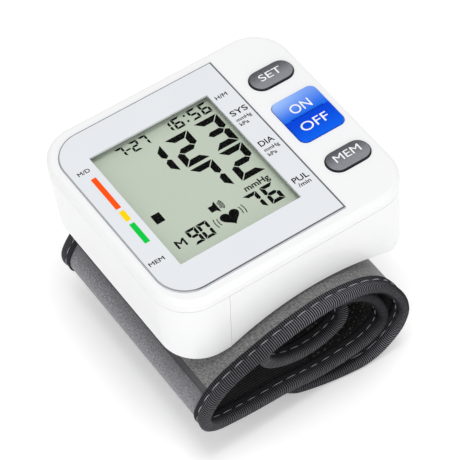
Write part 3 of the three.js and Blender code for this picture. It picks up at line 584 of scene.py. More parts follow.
def arc_band(x, y, radius, thick, first, last):
    """A band along an arc, in degrees."""
    steps = 8
    angles = [math.radians(first + (last - first) * step / steps) for step in range(steps + 1)]
    return [(x + reach * math.cos(angle), y + reach * math.sin(angle))
            for reach, turns in ((radius + thick, angles), (radius, angles[::-1])) for angle in turns]


def box_outline(left, low, right, high):
    """The corners of an upright box."""
    return [(left, low), (right, low), (right, high), (left, high)]


shapes = []
for figure in (
        ("1", -16.9, 6.2, -9.4, 17.0, 1.95, 0.2), ("2", -7.6, 5.8, -0.2, 17.1, 2.0, 0.2),
        ("3", 2.1, 5.9, 9.5, 17.3, 2.0, 0.2),
        ("7", -7.8, -6.3, -0.5, 4.7, 1.95, 0.2), ("2", 1.8, -6.6, 9.4, 4.95, 1.95, 0.2),
        ("7", -1.5, -17.6, 2.65, -11.2, 1.12, 0.12), ("6", 3.85, -17.8, 8.0, -11.15, 1.12, 0.12),
        ("9", -20.5, -17.2, -17.35, -11.65, 0.86, 0.1), ("0", -17.0, -17.2, -13.8, -11.65, 0.86, 0.1),
        ("1", -5.6, 18.7, -2.85, 22.5, 0.68, 0.08), ("6", -2.2, 18.6, 0.6, 22.7, 0.68, 0.08),
        ("5", 3.1, 18.6, 5.9, 22.75, 0.68, 0.08), ("6", 6.7, 18.6, 9.5, 22.8, 0.68, 0.08),
        ("7", -20.5, 18.8, -18.0, 22.55, 0.62, 0.08), ("2", -16.0, 18.7, -13.45, 22.5, 0.62, 0.08),
        ("7", -12.95, 18.8, -10.5, 22.5, 0.62, 0.08)):
    shapes += digit_bars(*figure)
# The time's colon, the date's dash, the battery mark and the loudspeaker with its sound.
shapes += [box_outline(1.6, 21.4, 2.25, 22.05), box_outline(1.6, 19.15, 2.25, 19.8),
           box_outline(-17.65, 20.35, -16.25, 20.85), box_outline(-24.95, -5.5, -22.3, -2.15),
           box_outline(-11.0, -10.7, -9.6, -8.65),
           [(-9.6, -8.65), (-8.6, -7.65), (-8.6, -11.75), (-9.6, -10.7)]]
shapes += [arc_band(-9.4, -9.7, radius, 0.22, -38, 38) for radius in (1.35, 1.75, 2.15, 2.5)]
# The heart and its beat.
heart_x, heart_points = -7.7, 40
shapes += [arc_band(heart_x, -14.4, radius, 0.25, start, start + 40) for radius in (3.55, 4.55)
           for start in (-20, 160)]
heart = []
for step in range(heart_points):
    turn = 2 * math.pi * step / heart_points
    rise = sum(share * math.cos(times * turn) for times, share in ((1, 13), (2, -5), (3, -2), (4, -1)))
    heart.append((heart_x + 2.85 * math.sin(turn) ** 3, -14.75 + 0.17 * rise))
shapes.append(heart)
glass_top = 57.8
segments = join_as("display_segments", [
    add_flat("segment_plates", shapes, glass_top, 0.03),
    add_words("mmHg", 0.55, -10.85, 8.4, -8.2, glass_top, 0.02),
    add_words("M", -24.85, -15.7, -21.9, -12.95, glass_top, 0.015)])
segment_black = Look("segment_black", Roughness=0.9, Specular_IOR_Level=0.05)
segment_black.mottle(0.002, (0.0, 0.0, 0.0), (0.006, 0.007, 0.006))
dress(segments, segment_black, None)


# The push buttons. Two pills in dark grey metallic lacquer, SET and MEM, and a blue ON/OFF button
# with a groove across it. Each has a flange that holds it under the lid, over its switch, and the
# words are printed in white.

def add_button(name, low, high, corner, edge, words, look, groove=None):
    """One button between two corners, with words printed on it and a groove at a place across it."""
    foot, flange_top, top, lip = 57.0, 57.75, 60.9, 1.05
    (left, near), (right, far) = low, high
    cap = add_plate(f"{name}_cap", (left, near, foot), (right, far, top), corner, 12)
    with editing(cap):
        round_edges(level_at(top), edge, 6)
    flange = add_plate(f"{name}_flange", (left - lip, near - lip, foot),
                       (right + lip, far + lip, flange_top), corner, 12)
    combine(flange, [add_block("case_side", (35.8, -40, 50), (45, 40, 64))])
    combine(cap, [flange], "UNION")
    if groove:
        combine(cap, [add_rod("groove_tool", 0.4, (23.1, groove, 60.95), (33.7, groove, 60.95), 16)])
    soften(cap, 0)
    dress(cap, look, f"{name}_button", f"{name}_key")
    lettering = join_as(f"{name}_lettering", [add_words(word, *box, top) for word, *box in words])
    dress(lettering, lettering_white, None, f"{name}_key")


lettering_white = Look("lettering_white", Roughness=0.4)
lettering_white.mottle(0.003, (0.84, 0.84, 0.85), (0.89, 0.89, 0.9))
dark_lacquer = Look("dark_lacquer", Metallic=0.3, Specular_IOR_Level=0.2)
flake = dark_lacquer.noise(0.00025, 1)
pill_pitch = 0.0356
# A painted sheen lightens each pill towards its lower edge. One gradient over the remainder of this
# pitch serves both pills.
up_the_pill = (dark_lacquer.axis(1) + 0.0174) % pill_pitch
painted_sheen = dark_lacquer.ramp(up_the_pill, 0.0068, 0.0012)
pill_face = dark_lacquer.blend(flake * 0.45 + painted_sheen * 0.55, (0.03, 0.034, 0.042), (0.32, 0.33, 0.355))
# Painted shade: the bevelled rim is painted dark.
painted_rim_shade = dark_lacquer.axis(2, "Normal") < 0.93
dark_lacquer.paint(painted_rim_shade, pill_face, (0.03, 0.033, 0.04))
dark_lacquer.set("Roughness", 0.3 + 0.12 * flake)
blue_lacquer = Look("blue_lacquer", Specular_IOR_Level=0.06)
across_cap, up_cap, cap_level = (blue_lacquer.axis(axis) for axis in range(3))
# Painted highlight: the upper half is painted lighter towards its top and its left. Painted shade: the lower
# half is painted darker towards the groove and lighter towards its lower edge.
painted_upper_highlight = blue_lacquer.ramp(up_cap, 0.0046, 0.0135) * (
    0.55 + 0.45 * blue_lacquer.ramp(across_cap, 0.0345, 0.022))
upper_half = blue_lacquer.blend(painted_upper_highlight, (0.012, 0.14, 0.76), (0.34, 0.52, 0.9))
painted_lower_shade = blue_lacquer.ramp(up_cap, 0.004, -0.0045)
lower_half = blue_lacquer.blend(painted_lower_shade, (0.0, 0.055, 0.64), (0.002, 0.11, 0.78))
halves = blue_lacquer.blend(up_cap > 0.00465, lower_half, upper_half)
# Painted shade: the groove across the cap is painted a darker blue.
painted_groove_shade = (cap_level < 0.06085) * blue_lacquer.near(up_cap, 0.0047, 0.00025)
blue_lacquer.paint(painted_groove_shade, halves, (0.0, 0.05, 0.5))
blue_lacquer.roughen(0.2, 0.06, 0.0008)
for name, low, high, word in (("set", (21.75, 14.3), (35.25, 21.3), ("SET", 24.9, 17.0, 31.9, 19.4)),
                              ("memory", (21.75, -21.3), (35.25, -14.3), ("MEM", 24.5, -18.4, 32.8, -15.9))):
    add_button(name, low, high, 3.49, 1.2, [word], dark_lacquer)
on_and_off = [("ON", 25.0, 2.1, 31.45, 5.3), ("OFF", 23.8, -4.6, 32.55, -1.5)]
add_button("power", (21.2, -7.7), (35.8, 8.8), 2.2, 0.5, on_and_off, blue_lacquer, 0.8)


# The electronics, behind the lid. A green board hangs from the lid on two screws. It carries the
# display in a black frame on two striped contact rubbers, three push switches, the control chip with
# its gull wing legs, and a round sounder.

def finish_solids(look, *nodes):
    """Gives a finish to solids that are carried over as they are."""
    for node in nodes:
        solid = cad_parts[node]
        solid.data.materials.clear()
        solid.data.materials.append(look.material)


circuit_board = Look("circuit_board", Roughness=0.35, Coat_Weight=0.3)
wander = circuit_board.noise(0.006)
across_board, along_board = (circuit_board.axis(axis) + 1 + 0.0006 * wander for axis in (0, 1))
tracks = (across_board % 0.0016 < 0.0003) | ((along_board % 0.0021 < 0.0003) * (wander > 0.5))
circuit_board.paint(0.6 * tracks, (0.015, 0.11, 0.035), (0.08, 0.3, 0.12))
circuit_board.relief(tracks, 0.00003)
finish_solids(circuit_board, "main_board")

black_plastic = Look("black_plastic")
black_plastic.mottle(0.004, (0.016, 0.016, 0.018), (0.03, 0.03, 0.033))
black_plastic.roughen(0.4, 0.15, 0.0006)
black_plastic.grain(0.0004, 0.00001)
finish_solids(black_plastic, "display_frame", "sounder")

zebra_rubber = Look("zebra_rubber", Roughness=0.7)
layers = zebra_rubber.axis(0) + 1
zebra_rubber.paint(layers % 0.0005 < 0.00025, (0.5, 0.25, 0.27), (0.015, 0.015, 0.015))
finish_solids(zebra_rubber, "near_contact_strip", "far_contact_strip")

switch_parts = Look("switch_parts")
above = switch_parts.axis(2) > 0.0552
switch_parts.paint(above, (0.42, 0.42, 0.43), (0.02, 0.02, 0.022))
switch_parts.set("Metallic", 0.9 * (1 - above))
switch_parts.roughen(0.3, 0.1, 0.0005)
finish_solids(switch_parts, "set_switch", "power_switch", "memory_switch")

chip = add_plate("control_chip_body", (-14, -20, 49.8), (-2, -8, 51.3), 0.3, 3)
combine(chip, [add_rod("corner_mark", 0.5, (-13, -9, 49.2), (-13, -9, 49.9), 20)])
soften(chip, 0.15, 2)
leg = add_block("chip_leg", (-13.1, -8.05, 50.6), (-12.8, -7.2, 50.75))
with editing(leg):
    pick("FACE", lambda face: face.normal.y > 0.9)
    push_out(0, 0.0001, 0.0007)
    push_out(0, 0.0004, 0)
legs, legs_a_side, leg_pitch = [], 12, 0.00089
chip_middle = Matrix.Translation(point(-8, -14, 0))
for quarter in range(4):
    turned = chip_middle @ Matrix.Rotation(quarter * math.pi / 2, 4, "Z") @ chip_middle.inverted()
    for place in range(legs_a_side):
        legs.append(new_object("chip_leg", leg.data.copy()))
        legs[-1].data.transform(turned @ Matrix.Translation((place * leg_pitch, 0, 0)))
bpy.data.objects.remove(leg)
chip_epoxy = Look("chip_epoxy", Roughness=0.55)
chip_epoxy.mottle(0.002, (0.012, 0.012, 0.013), (0.022, 0.022, 0.024))
chip_epoxy.grain(0.00015, 0.00001)
dress(chip, chip_epoxy, "control_chip")
nickel = Look("nickel", Metallic=1)
nickel.mottle(0.001, (0.55, 0.54, 0.51), (0.66, 0.65, 0.62))
nickel.roughen(0.2, 0.15, 0.0005)
dress(join_as("control_chip_legs", legs), nickel, None)


# The air circuit. A small diaphragm pump pushes air through silicone sleeves into a manifold, and on
# to the sensor, the release valve and the cuff.

bright_steel = Look("bright_steel", Metallic=1)
brushing = bright_steel.noise(0.002, 3, vector=bright_steel.node(
    "ShaderNodeVectorMath", {"operation": "MULTIPLY"}, {0: bright_steel.place(), 1: (1, 0.08, 1)}))
bright_steel.paint(brushing, (0.48, 0.49, 0.5), (0.66, 0.67, 0.68))
bright_steel.set("Roughness", 0.2 + 0.25 * brushing)
finish_solids(bright_steel, "pump_motor", "pump_rotor", "release_valve")

turned_brass = Look("turned_brass", Metallic=1)
turned_brass.mottle(0.002, (0.68, 0.48, 0.2), (0.82, 0.62, 0.32))
turned_brass.roughen(0.25, 0.2, 0.0007)
finish_solids(turned_brass, "valve_plunger")

grey_moulding = Look("grey_moulding", Roughness=0.5)
grey_moulding.mottle(0.006, (0.27, 0.28, 0.3), (0.34, 0.35, 0.37))
grey_moulding.grain(0.0005, 0.00002)
finish_solids(grey_moulding, "pump_head", "air_manifold", "pressure_sensor", "battery_tray")

silicone = Look("silicone", Subsurface_Weight=0.2)
silicone.mottle(0.003, (0.68, 0.68, 0.63), (0.76, 0.76, 0.72))
silicone.roughen(0.35, 0.15, 0.0008)
finish_solids(silicone, "pump_tube", "sensor_tube", "valve_tube", "cuff_tube")


# The batteries. Two AAA cells lie side by side in the tray, head to tail. Each has a printed film
# sleeve over a steel can with a raised cap. They are held by coil springs on plates at one end and
# by pressed plates at the other.

sleeve_film = Look("sleeve_film", Roughness=0.25, Coat_Weight=0.5)
sleeve_film.mottle(0.004, (0.025, 0.09, 0.32), (0.04, 0.12, 0.4))
pocket_level, plate_y = 44.05, 24.25


def add_cell(name, x, cap):
    """A cell whose cap points along +Y or -Y, on the tray's pocket at x."""
    tail, head = -cap * 22.2, cap * 21.4
    can = add_rod(f"{name}_can", 5.2, (x, tail, pocket_level), (x, head, pocket_level), 64)
    with editing(can):
        for side, steps in ((cap, ((0.4, -0.25), (2.7, 0), (0.25, 1.05))), (-cap, ((0.5, -0.2), (0.9, 0.2)))):
            pick("FACE", lambda face: face.normal.y * side > 0.9 and len(face.verts) > 8)
            for inset, rise in steps:
                bpy.ops.mesh.inset(thickness=inset / 1000)
                if rise:
                    push_out(0, side * rise / 1000, 0)
    soften(can, 0.12, 2)
    near, far = sorted((tail + cap * 0.35, head - cap * 0.35))
    sleeve = add_rod(f"{name}_sleeve", 5.25, (x, near, pocket_level), (x, far, pocket_level), 64)
    combine(sleeve, [add_rod("can_tool", 5.19, (x, -30, pocket_level), (x, 30, pocket_level), 64)])
    soften(sleeve, 0)
    dress(can, bright_steel, name)
    dress(sleeve, sleeve_film, name)


def add_contact(name, x, y, spring):
    """A nickel plate at one end of a pocket, with a coil spring or a pressed button towards the cell."""
    way = -1 if y > 0 else 1
    low, high = sorted((y, y + way * 0.35))
    plate = add_block(f"{name}_contact", (x - 3.7, low, 40.4), (x + 3.7, high, 47.7))
    soften(plate, 0.1, 2)
    if spring:
        coil = bpy.data.curves.new(f"{name}_coil", "CURVE")
        coil.dimensions = "3D"
        coil.bevel_depth = 0.00022
        coil.bevel_resolution = 2
        coil.use_fill_caps = True
        turns, steps_a_turn = 4, 24
        count = turns * steps_a_turn
        line = coil.splines.new("POLY")
        line.points.add(count)
        for step, spot in enumerate(line.points):
            angle = 2 * math.pi * step / steps_a_turn
            radius = 3.2 - 1.1 * step / count
            spot.co = (*point(x + radius * math.cos(angle), y + way * (0.55 + 1.2 * step / count),
                              pocket_level + radius * math.sin(angle)), 1)
        face = curve_mesh(coil)
        bpy.ops.object.shade_smooth()
    else:
        face = add_rod("button", 1.6, (x, y + way * 0.3, pocket_level), (x, y + way * 0.75, pocket_level), 32)
        soften(face, 0.2, 3)
    dress(join_as(f"{name}_contact", [plate, face]), nickel, name)


pockets = ((1, -29.65, 1), (2, -18.95, -1))
for number, x, cap in pockets:
    add_cell(f"battery_{number}", x, cap)
for number, x, cap in pockets:
    add_contact(f"battery_spring_{number}", x, -cap * plate_y, True)
    add_contact(f"battery_plate_{number}", x, cap * plate_y, False)


# The screws. Zinc plated self-tapping screws with slotted pan heads hold the case, the board and the
# cuff's bow.

zinc_plate = Look("zinc_plate", Metallic=1)
zinc_plate.mottle(0.001, (0.48, 0.49, 0.54), (0.64, 0.65, 0.67))
zinc_plate.roughen(0.28, 0.2, 0.0006)
for kind, screws in (("case", case_screws), ("board", board_screws), ("cuff", cuff_screws)):
    finish_solids(zinc_plate, *(f"{kind}_screw_{number}" for number in range(1, len(screws) + 1)))


# The cuff's course. The cuff is one flat band, 71 mm wide and rolled up. Each row is a place on its
# outer face, in shares of the roll's width, of its height and of how far the inner turns sit back.
# It starts at the loose tail on the table and ends with the curled inner end.

course_shares = [
    (-0.181, 0.146, 0), (-0.122, 0.06, 0), (-0.05, 0, 0), (0.1, 0, 0), (0.229, 0, 0), (0.307, 0.035, 0),
    (0.376, 0.115, 0), (0.431, 0.222, 0), (0.457, 0.36, 0), (0.449, 0.5, 0), (0.409, 0.668, 0),
    (0.343, 0.828, 0), (0.257, 0.932, 0), (0.157, 0.983, 0), (0.057, 1, 0), (-0.057, 0.978, 0),
    (-0.171, 0.93, 0), (-0.286, 0.863, 0), (-0.379, 0.802, 0), (-0.45, 0.728, 0), (-0.507, 0.621, 0),
    (-0.539, 0.496, 0), (-0.527, 0.384, 0), (-0.477, 0.314, 0), (-0.386, 0.277, 0.03), (-0.264, 0.249, 0.1),
    (-0.129, 0.231, 0.17), (0.029, 0.18, 0.27), (0.171, 0.172, 0.4), (0.279, 0.197, 0.5),
    (0.351, 0.267, 0.6), (0.377, 0.374, 0.67), (0.36, 0.529, 0.67), (0.314, 0.688, 0.7),
    (0.236, 0.813, 0.77), (0.121, 0.888, 0.8), (-0.014, 0.903, 0.87), (-0.129, 0.853, 0.93),
    (-0.207, 0.768, 1), (-0.233, 0.668, 1), (-0.206, 0.564, 1), (-0.123, 0.471, 1), (-0.007, 0.431, 1),
    (0.1, 0.469, 1), (0.174, 0.559, 1), (0.203, 0.661, 1), (0.194, 0.748, 1)]
roll_width, roll_height, roll_set_back = 70, 40.1, 3
cuff_width, cuff_middle = 71, -7.6
tail_taper, tail_round, end_round = 42, 12, 9
steps_a_row = 40


def course_line():
    """The course as close points, through the same smooth curve that the solids follow."""
    knots = [Vector((across * roll_width, back * roll_set_back, up * roll_height))
             for across, up, back in course_shares]
    knots = [2 * knots[0] - knots[1]] + knots + [2 * knots[-1] - knots[-2]]
    points = []
    for row in range(1, len(knots) - 2):
        before, start, end, after = knots[row - 1:row + 3]
        first, middle, last = ((right - left).length ** 0.5 for left, right in
                               ((before, start), (start, end), (end, after)))
        out = ((start - before) / first - (end - before) / (first + middle) + (end - start) / middle) * middle
        into = ((end - start) / middle - (after - start) / (middle + last) + (after - end) / last) * middle
        for step in range(steps_a_row):
            t = step / steps_a_row
            points.append(start + out * t + (3 * (end - start) - 2 * out - into) * t ** 2
                          + (2 * (start - end) + out + into) * t ** 3)
    points.append(knots[-2])
    for place in points:
        place.z = max(0, place.z)
    lengths = [0]
    for left, right in zip(points, points[1:]):
        lengths.append(lengths[-1] + (right - left).length)
    return points, lengths


course_points, course_lengths = course_line()
band_end = course_lengths[-1]


def along(distance):
    """The place on the band's outer face at a length along it, and the way into the band."""
    def place_at(length):
        length = min(max(length, 0), band_end)
        after = min(max(bisect_left(course_lengths, length), 1), len(course_lengths) - 1)
        share = (length - course_lengths[after - 1]) / (course_lengths[after] - course_lengths[after - 1])
        return course_points[after - 1].lerp(course_points[after], share)

    place = place_at(distance)
    way = place_at(distance + 0.8) - place_at(distance - 0.8)
    return place, Vector((-way.z, 0, way.x)).normalized()


def length_at(row):
    """How far along the course a row of its table lies."""
    return course_lengths[round(row * steps_a_row)]


def side_at(distance, inset):
    """Half the band's width at a length along it, less an inset. The tail's two corners are drawn
    out to a taper and the inner end's are round."""
    from_tail, from_end = distance - inset, band_end - distance - inset
    taper, radius = tail_taper - inset, end_round - inset
    lost = 0
    if from_tail < taper:
        lost = (tail_round - inset) * (1 - math.sqrt(max(0, 1 - ((taper - from_tail) / taper) ** 2)))
    if from_end < radius:
        lost = radius - math.sqrt(max(0, radius ** 2 - (radius - from_end) ** 2))
    return cuff_width / 2 - inset - lost


def new_piece(name, mesh):
    """A piece from a mesh in the making."""
    bmesh.ops.recalc_face_normals(mesh, faces=mesh.faces)
    data = bpy.data.meshes.new(name)
    mesh.to_mesh(data)
    mesh.free()
    return new_object(name, data)


def skin(mesh, rings):
    """A skin over rings of points, with flat ends. It tells each side's face and the rows and columns
    of its corners."""
    rings = [[mesh.verts.new(corner) for corner in ring] for ring in rings]
    size = len(rings[0])
    faces = []
    for step in range(len(rings) - 1):
        for side in range(size):
            corners = [(step, side), (step, side + 1), (step + 1, side + 1), (step + 1, side)]
            face = mesh.faces.new([rings[row][column % size] for row, column in corners])
            face.smooth = True
            faces.append((face, corners))
    for ring in (rings[0][::-1], rings[-1]):
        mesh.faces.new(ring)
    return faces


def mesh_rings(name, rings, spots):
    """A piece that is a skin over rings. Each spot is a point's place on the UV map."""
    mesh = bmesh.new()
    metres = mesh.loops.layers.uv.new("UVMap")
    for face, corners in skin(mesh, rings):
        for loop, (row, column) in zip(face.loops, corners):
            loop[metres].uv = spots(row, column)
    return new_piece(name, mesh)


def on_band(distance, across, depth):
    """The point at a length along the band, a distance off its middle and a depth into it."""
    place, inward = along(distance)
    spot = place + inward * depth
    return point(spot.x, spot.y + cuff_middle + across, max(0.02, spot.z))


# The bindings. A ribbed charcoal tape is folded over the cuff's edges and round the corners of both
# ends, and sewn through. It puffs up between the stitches and the fold. Its ribs run across it.

outer_width, inner_width, tape_thick, band_thick = 4.4, 4.75, 0.4, 3.05
stitch_line, stitch_pitch, rib_pitch = 2.7, 4.3, 0.64


def steps_between(length):
    """Equal shares of a length, a quarter of a rib or less apart."""
    count = math.ceil(length / (rib_pitch / 4))
    return [step / count for step in range(count)]


def edge_path(side):
    """Points along one edge of the band, from the middle of the tail's end to the middle of the
    inner end. Each is a length along the band, a distance off its middle and the way into the band."""
    half, quarter = cuff_width / 2, math.pi / 2
    straight = band_end - tail_taper - end_round
    legs = [(0, -share * (half - tail_round), 1, 0) for share in steps_between(half - tail_round)]
    for share in steps_between(44):
        up, on = math.sin(share * quarter), math.cos(share * quarter)
        way = Vector((on / tail_taper, up / tail_round)).normalized()
        legs.append((tail_taper * (1 - on), tail_round * (1 - up) - half, *way))
    legs += [(tail_taper + share * straight, -half, 0, 1) for share in steps_between(straight)]
    for share in steps_between(end_round * quarter):
        up, on = math.sin(share * quarter), math.cos(share * quarter)
        legs.append((band_end - end_round * (1 - up), end_round * (1 - on) - half, -up, on))
    legs += [(band_end, (share - 1) * (half - end_round), -1, 0) for share in steps_between(half - end_round)]
    return [(distance, -side * across, (into_run, -side * into_across))
            for distance, across, into_run, into_across in legs]


def tape_section():
    """The tape's folded section, from one lip round the cuff's edge to the other and back inside."""
    def face(width):
        return [(width, 0.25), (width - 0.12, 0.06), (4.1, -0.03), (3.3, 0.03), (2.7, 0.2), (2.3, 0.1),
                (1.7, -0.12), (1.05, -0.2), (0.5, -0.08), (0.1, 0.2), (-0.12, 0.65)]

    back = [(into, band_thick - depth) for into, depth in reversed(face(inner_width))]
    behind = band_thick - tape_thick
    inside = [(inner_width, behind), (0.9, behind), (0.45, band_thick - 0.9), (0.45, 0.9),
              (0.9, tape_thick), (outer_width, tape_thick)]
    return face(outer_width) + back, inside


def make_tape(name, side):
    """Folds the tape over one edge. Its UV map counts metres along the tape and in from its fold."""
    path = edge_path(side)
    outside, inside = tape_section()
    section = outside + inside
    run, runs, rings = 0, [], []
    for index, (distance, across, (into_run, into_across)) in enumerate(path):
        if index:
            run += math.hypot(distance - path[index - 1][0], across - path[index - 1][1])
        runs.append(run / 1000)
        trough = 0.045 * (1 + math.cos(2 * math.pi * run / rib_pitch))
        tug = 0.09 * math.cos(2 * math.pi * run / stitch_pitch)
        ring = []
        for place, (into, depth) in enumerate(section):
            if place < len(outside):
                pull = tug * math.exp(-((into - stitch_line) / 0.8) ** 2)
                depth += (trough + pull) * (1 if depth < band_thick / 2 else -1)
                into += trough if into < 0.6 else 0
            ring.append(on_band(distance + into * into_run, across + into * into_across, depth))
        rings.append(ring)
    tape = mesh_rings(name, rings, lambda row, column: (runs[row], section[column % len(section)][0] / 1000))
    return tape, path


charcoal_tape = Look("charcoal_tape", Roughness=0.9, Specular_IOR_Level=0.12)
along_tape, across_tape = (charcoal_tape.axis(axis, "UV") for axis in (0, 1))
# Painted light and shade: the ribs' crests are painted light and the hollows between them dark.
painted_rib_shading = charcoal_tape.waves("X", rib_pitch / 1000, Distortion=0.5, Detail=1, Phase_Offset=math.pi / 2)
yarn = charcoal_tape.noise(0.0004, 2, "UV")
# Painted shade: the tape's lip side, beyond the stitches, is painted darker.
lip = charcoal_tape.ramp(across_tape, 0.0024, 0.003)
# Painted shade: the tape is painted greyer up the right side and on top than at the tail, round the
# left fold and inside, where the roll itself shades it.
painted_turn_shade = charcoal_tape.ramp(along_tape, length_at(17) / 1000, length_at(22) / 1000, 1.25, 0.6)
painted_tail_shade = charcoal_tape.ramp(along_tape, length_at(7) / 1000, length_at(11) / 1000, 0.4, 1)
charcoal_tape.paint(painted_rib_shading ** 2 * (0.25 + 1.1 * yarn) * (1 - 0.5 * lip) * painted_turn_shade * painted_tail_shade,
                    (0.002, 0.002, 0.003), (0.22, 0.22, 0.24))
charcoal_tape.relief(yarn, 0.0001)


def add_stitch(mesh, path, first, depth, lift):
    """One thread from a point of the path onwards. It rises by lift between the holes it comes from."""
    drift = 0.12 * math.sin(first * 12.9898)
    reach = 0.72 + 0.1 * math.sin(first * 78.233)
    rings, sides = [], 6
    for share in (0, 0.25, 0.5, 0.75, 1):
        distance, across, (into_run, into_across) = path[round(first + stitch_steps * reach * share)]
        thick = 0.095 * (1 - (2 * share - 1) ** 4) + 0.03
        level = depth - lift * (1 - (2 * share - 1) ** 2)
        ring = []
        for turn in (2 * math.pi * corner / sides for corner in range(sides)):
            into = stitch_line + drift * (share - 0.5) + thick * math.cos(turn)
            ring.append(on_band(distance + into * into_run, across + into * into_across,
                                level + thick * math.sin(turn)))
        rings.append(ring)
    skin(mesh, rings)


# The seam that holds the tape: long light grey lock stitches, seen on both faces of the band.
stitch_steps = round(stitch_pitch / (rib_pitch / 4))
stitches = bmesh.new()
for name, side in (("front_binding", -1), ("rear_binding", 1)):
    tape, path = make_tape(f"{name}_tape", side)
    dress(tape, charcoal_tape, name)
    for first in range(stitch_steps // 2, len(path) - stitch_steps, stitch_steps):
        for depth, lift in ((0.2, 0.16), (band_thick - 0.2, -0.16)):
            add_stitch(stitches, path, first, depth, lift)
grey_thread = Look("grey_thread", Roughness=0.7)
grey_thread.mottle(0.0008, (0.14, 0.14, 0.15), (0.48, 0.48, 0.5))
dress(new_piece("binding_stitches", stitches), grey_thread, None)


# The outer fabric. A heathered grey woven cloth laminated to the band. Near the left fold it is
# joined to a smoother, bluer loop fabric by a dark stitched seam.

fabric_inset = 0.55
whole_band = (fabric_inset, fabric_inset, band_end - fabric_inset)
seam_at = length_at(19.65)


def make_layer(name, depth, thick, inset, start, end, columns, pace, face=None):
    """One layer of the band between two lengths along it, as a sheet with an upper and a lower
    face. It has columns across it and rows a pace apart, and face shifts the depth of its points."""
    count = round((end - start) / pace)
    spread = [2 * column / columns - 1 for column in range(columns + 1)]
    sides = [(share, False) for share in spread] + [(share, True) for share in reversed(spread)]
    rings, runs = [], [start + (end - start) * step / count for step in range(count + 1)]
    for distance in runs:
        half = side_at(distance, inset)
        ring = []
        for share, inner in sides:
            level = depth + (thick if inner else 0)
            if face:
                level = face(distance, share * half, inner, level)
            ring.append(on_band(distance, share * half, level))
        rings.append(ring)
    wide = (cuff_width / 2 - inset) / 1000
    return mesh_rings(name, rings, lambda row, column: (
        runs[row] / 1000, sides[column % len(sides)][0] * wide))


def seam_groove(distance, across, inner, level):
    """The outer face sinks along the seam."""
    return level if inner else level + 0.1 * math.exp(-((distance - seam_at) / 0.5) ** 2)


outer_fabric = make_layer("cuff_fabric_cloth", 0.55, 0.4, *whole_band, 24, 0.5, seam_groove)
combine(outer_fabric, add_rods("boss_tool", 2.3, cuff_screws, 30, 45)
        + add_rods("nipple_tool", 1.9, [air_hole], 30, 45))
soften(outer_fabric, 0)
grey_fabric = Look("grey_fabric", Roughness=0.9, Sheen_Weight=0.2, Sheen_Roughness=0.6)
along_cloth = grey_fabric.axis(0, "UV")


def yarns(angle, longer):
    """Fine patches drawn out along the yarn, on the cloth's map turned by an angle."""
    turned = grey_fabric.node("ShaderNodeMapping", {"vector_type": "TEXTURE"}, {
        "Vector": grey_fabric.place("UV"), "Rotation": (0, 0, math.radians(angle)), "Scale": (longer, 1, 1)})
    return grey_fabric.noise(0.0004, 3, vector=turned)


twill, long_yarn = yarns(55, 2.5), yarns(0, 1.8)
patches = grey_fabric.noise(0.0025, 3, "UV")
heather = 0.5 * twill + 0.42 * long_yarn + 0.08 * patches
streaks = grey_fabric.ramp(heather, 0.4, 0.6, kind="LINEAR")
woven = grey_fabric.blend(streaks, (0.085, 0.085, 0.087), (0.235, 0.235, 0.23))
smooth_loop = grey_fabric.blend(streaks, (0.1, 0.1, 0.114), (0.275, 0.275, 0.29))
past_seam = along_cloth > (seam_at + 0.3) / 1000
near_seam = grey_fabric.near(along_cloth, (seam_at - 0.4) / 1000, 0.0011)
# Painted shadow from the case: just past the seam the fabric is painted darker, fading out further along.
painted_case_shadow = grey_fabric.ramp(along_cloth, length_at(20.8) / 1000, length_at(19.8) / 1000, 0, 0.5)
cloth = grey_fabric.blend(past_seam * painted_case_shadow, grey_fabric.blend(past_seam, woven, smooth_loop),
                          (0.06, 0.06, 0.066))
grey_fabric.paint(near_seam * (0.7 + 0.3 * twill), cloth, (0.03, 0.03, 0.036))
grey_fabric.relief(heather, 0.00025)
dress(outer_fabric, grey_fabric, "cuff_fabric")


# The lining. A near black ribbed knit laminated to the band's inner face, its ribs running along the
# band. The binding holds it at all its edges.

knit_pitch = 0.75


def lining_ribs(distance, across, inner, level):
    """Ribs along the band stand up from the inner face."""
    return level - 0.05 * (1 + math.cos(2 * math.pi * across / knit_pitch)) if inner else level


lining = make_layer("cuff_lining_knit", 2.15, 0.35, *whole_band, 280, 1.6, lining_ribs)
black_lining = Look("black_lining", Roughness=0.85)
rib = black_lining.waves("Y", knit_pitch / 1000, Distortion=0.4)
black_lining.paint(rib * black_lining.noise(0.0005, 2, "UV"), (0.004, 0.004, 0.005), (0.11, 0.11, 0.115))
black_lining.relief(black_lining.noise(0.0003, 2, "UV"), 0.0001)
dress(lining, black_lining, "cuff_lining")


# The fastening patches. The hooks are a stiff nylon strip inside the tail, and the loops a black
# napped pile inside the inner turns.

patch_inset = inner_width + 0.3


def pile(distance, across, inner, level):
    """Tufts about a millimetre apart stand up from the loop patch's face."""
    spot = Vector((distance, across, 0))
    tuft, nap = noise.noise(spot / 0.8), noise.noise(spot / 0.35)
    return level - 0.1 + 0.2 * tuft + 0.13 * nap if inner else level


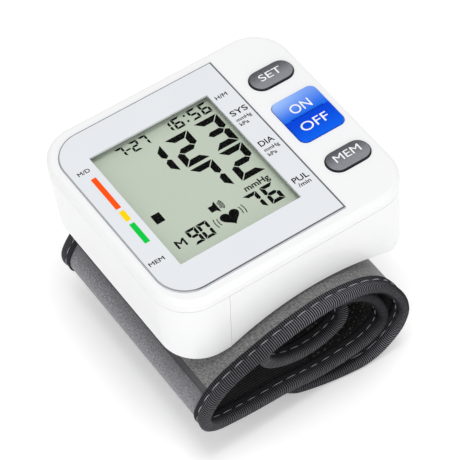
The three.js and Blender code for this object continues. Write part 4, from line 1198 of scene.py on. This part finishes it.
def cuff_patch(name, start, end, look, node, columns, pace, face=None):
    """A patch on the lining between two lengths along the band."""
    patch = make_layer(name, 2.65, 0.35, patch_inset, start, end, columns, pace, face)
    dress(patch, look, node)


black_pile = Look("black_pile", Roughness=0.95)
# Painted highlights: sparse light specks on the black pile.
painted_pile_glints = black_pile.ramp(black_pile.noise(0.0008, 4, "UV"), 0.55, 0.78, kind="LINEAR")
black_pile.paint(painted_pile_glints, (0.004, 0.004, 0.004), (0.2, 0.2, 0.17))
black_pile.relief(black_pile.noise(0.0003, 2, "UV"), 0.0003)
cuff_patch("loop_patch_pile", length_at(27), band_end - patch_inset, black_pile, "loop_patch", 160, 0.4, pile)
hook_nylon = Look("hook_nylon", Roughness=0.5)
hooks = hook_nylon.node("ShaderNodeTexVoronoi", {"feature": "F1"}, {
    "Vector": hook_nylon.place("UV"), "Scale": 1 / 0.0011, "Randomness": 0.25}, "Distance")
hook_nylon.paint(hooks, (0.05, 0.05, 0.055), (0.01, 0.01, 0.012))
hook_nylon.relief(1 - hooks, 0.0003)
cuff_patch("hook_patch_nylon", patch_inset, length_at(6), hook_nylon, "hook_patch", 24, 0.5)


# Inside the cuff. A springy black polypropylene bow keeps the curve and carries the case's four
# bosses. The air bladder under it is two films of urethane, welded along a flat rim.

finish_solids(black_plastic, "cuff_bow")
bladder_start, bladder_end = length_at(13), length_at(28)
half_bladder, rim_width, rim_sunk = 30.4, 2.3, 0.09


def welded_rim(distance, across, inner, level):
    """Both films sink towards each other along the rim where they are welded."""
    from_edge = min(distance - bladder_start, bladder_end - distance, half_bladder - abs(across))
    return level + (rim_sunk if from_edge < rim_width else 0) * (-1 if inner else 1)


bladder = make_layer("air_bladder_films", 1.65, 0.35, patch_inset, bladder_start, bladder_end,
                     56, 0.8, welded_rim)
combine(bladder, add_rods("bladder_nipple", 1.5, [air_hole], 38.2, 44.9), "UNION")
soften(bladder, 0)
bladder_film = Look("bladder_film", Roughness=0.4)
bladder_film.mottle(0.006, (0.3, 0.31, 0.35), (0.42, 0.43, 0.47))
bladder_film.grain(0.002, 0.0001)
dress(bladder, bladder_film, "air_bladder")


bpy.context.view_layer.update()
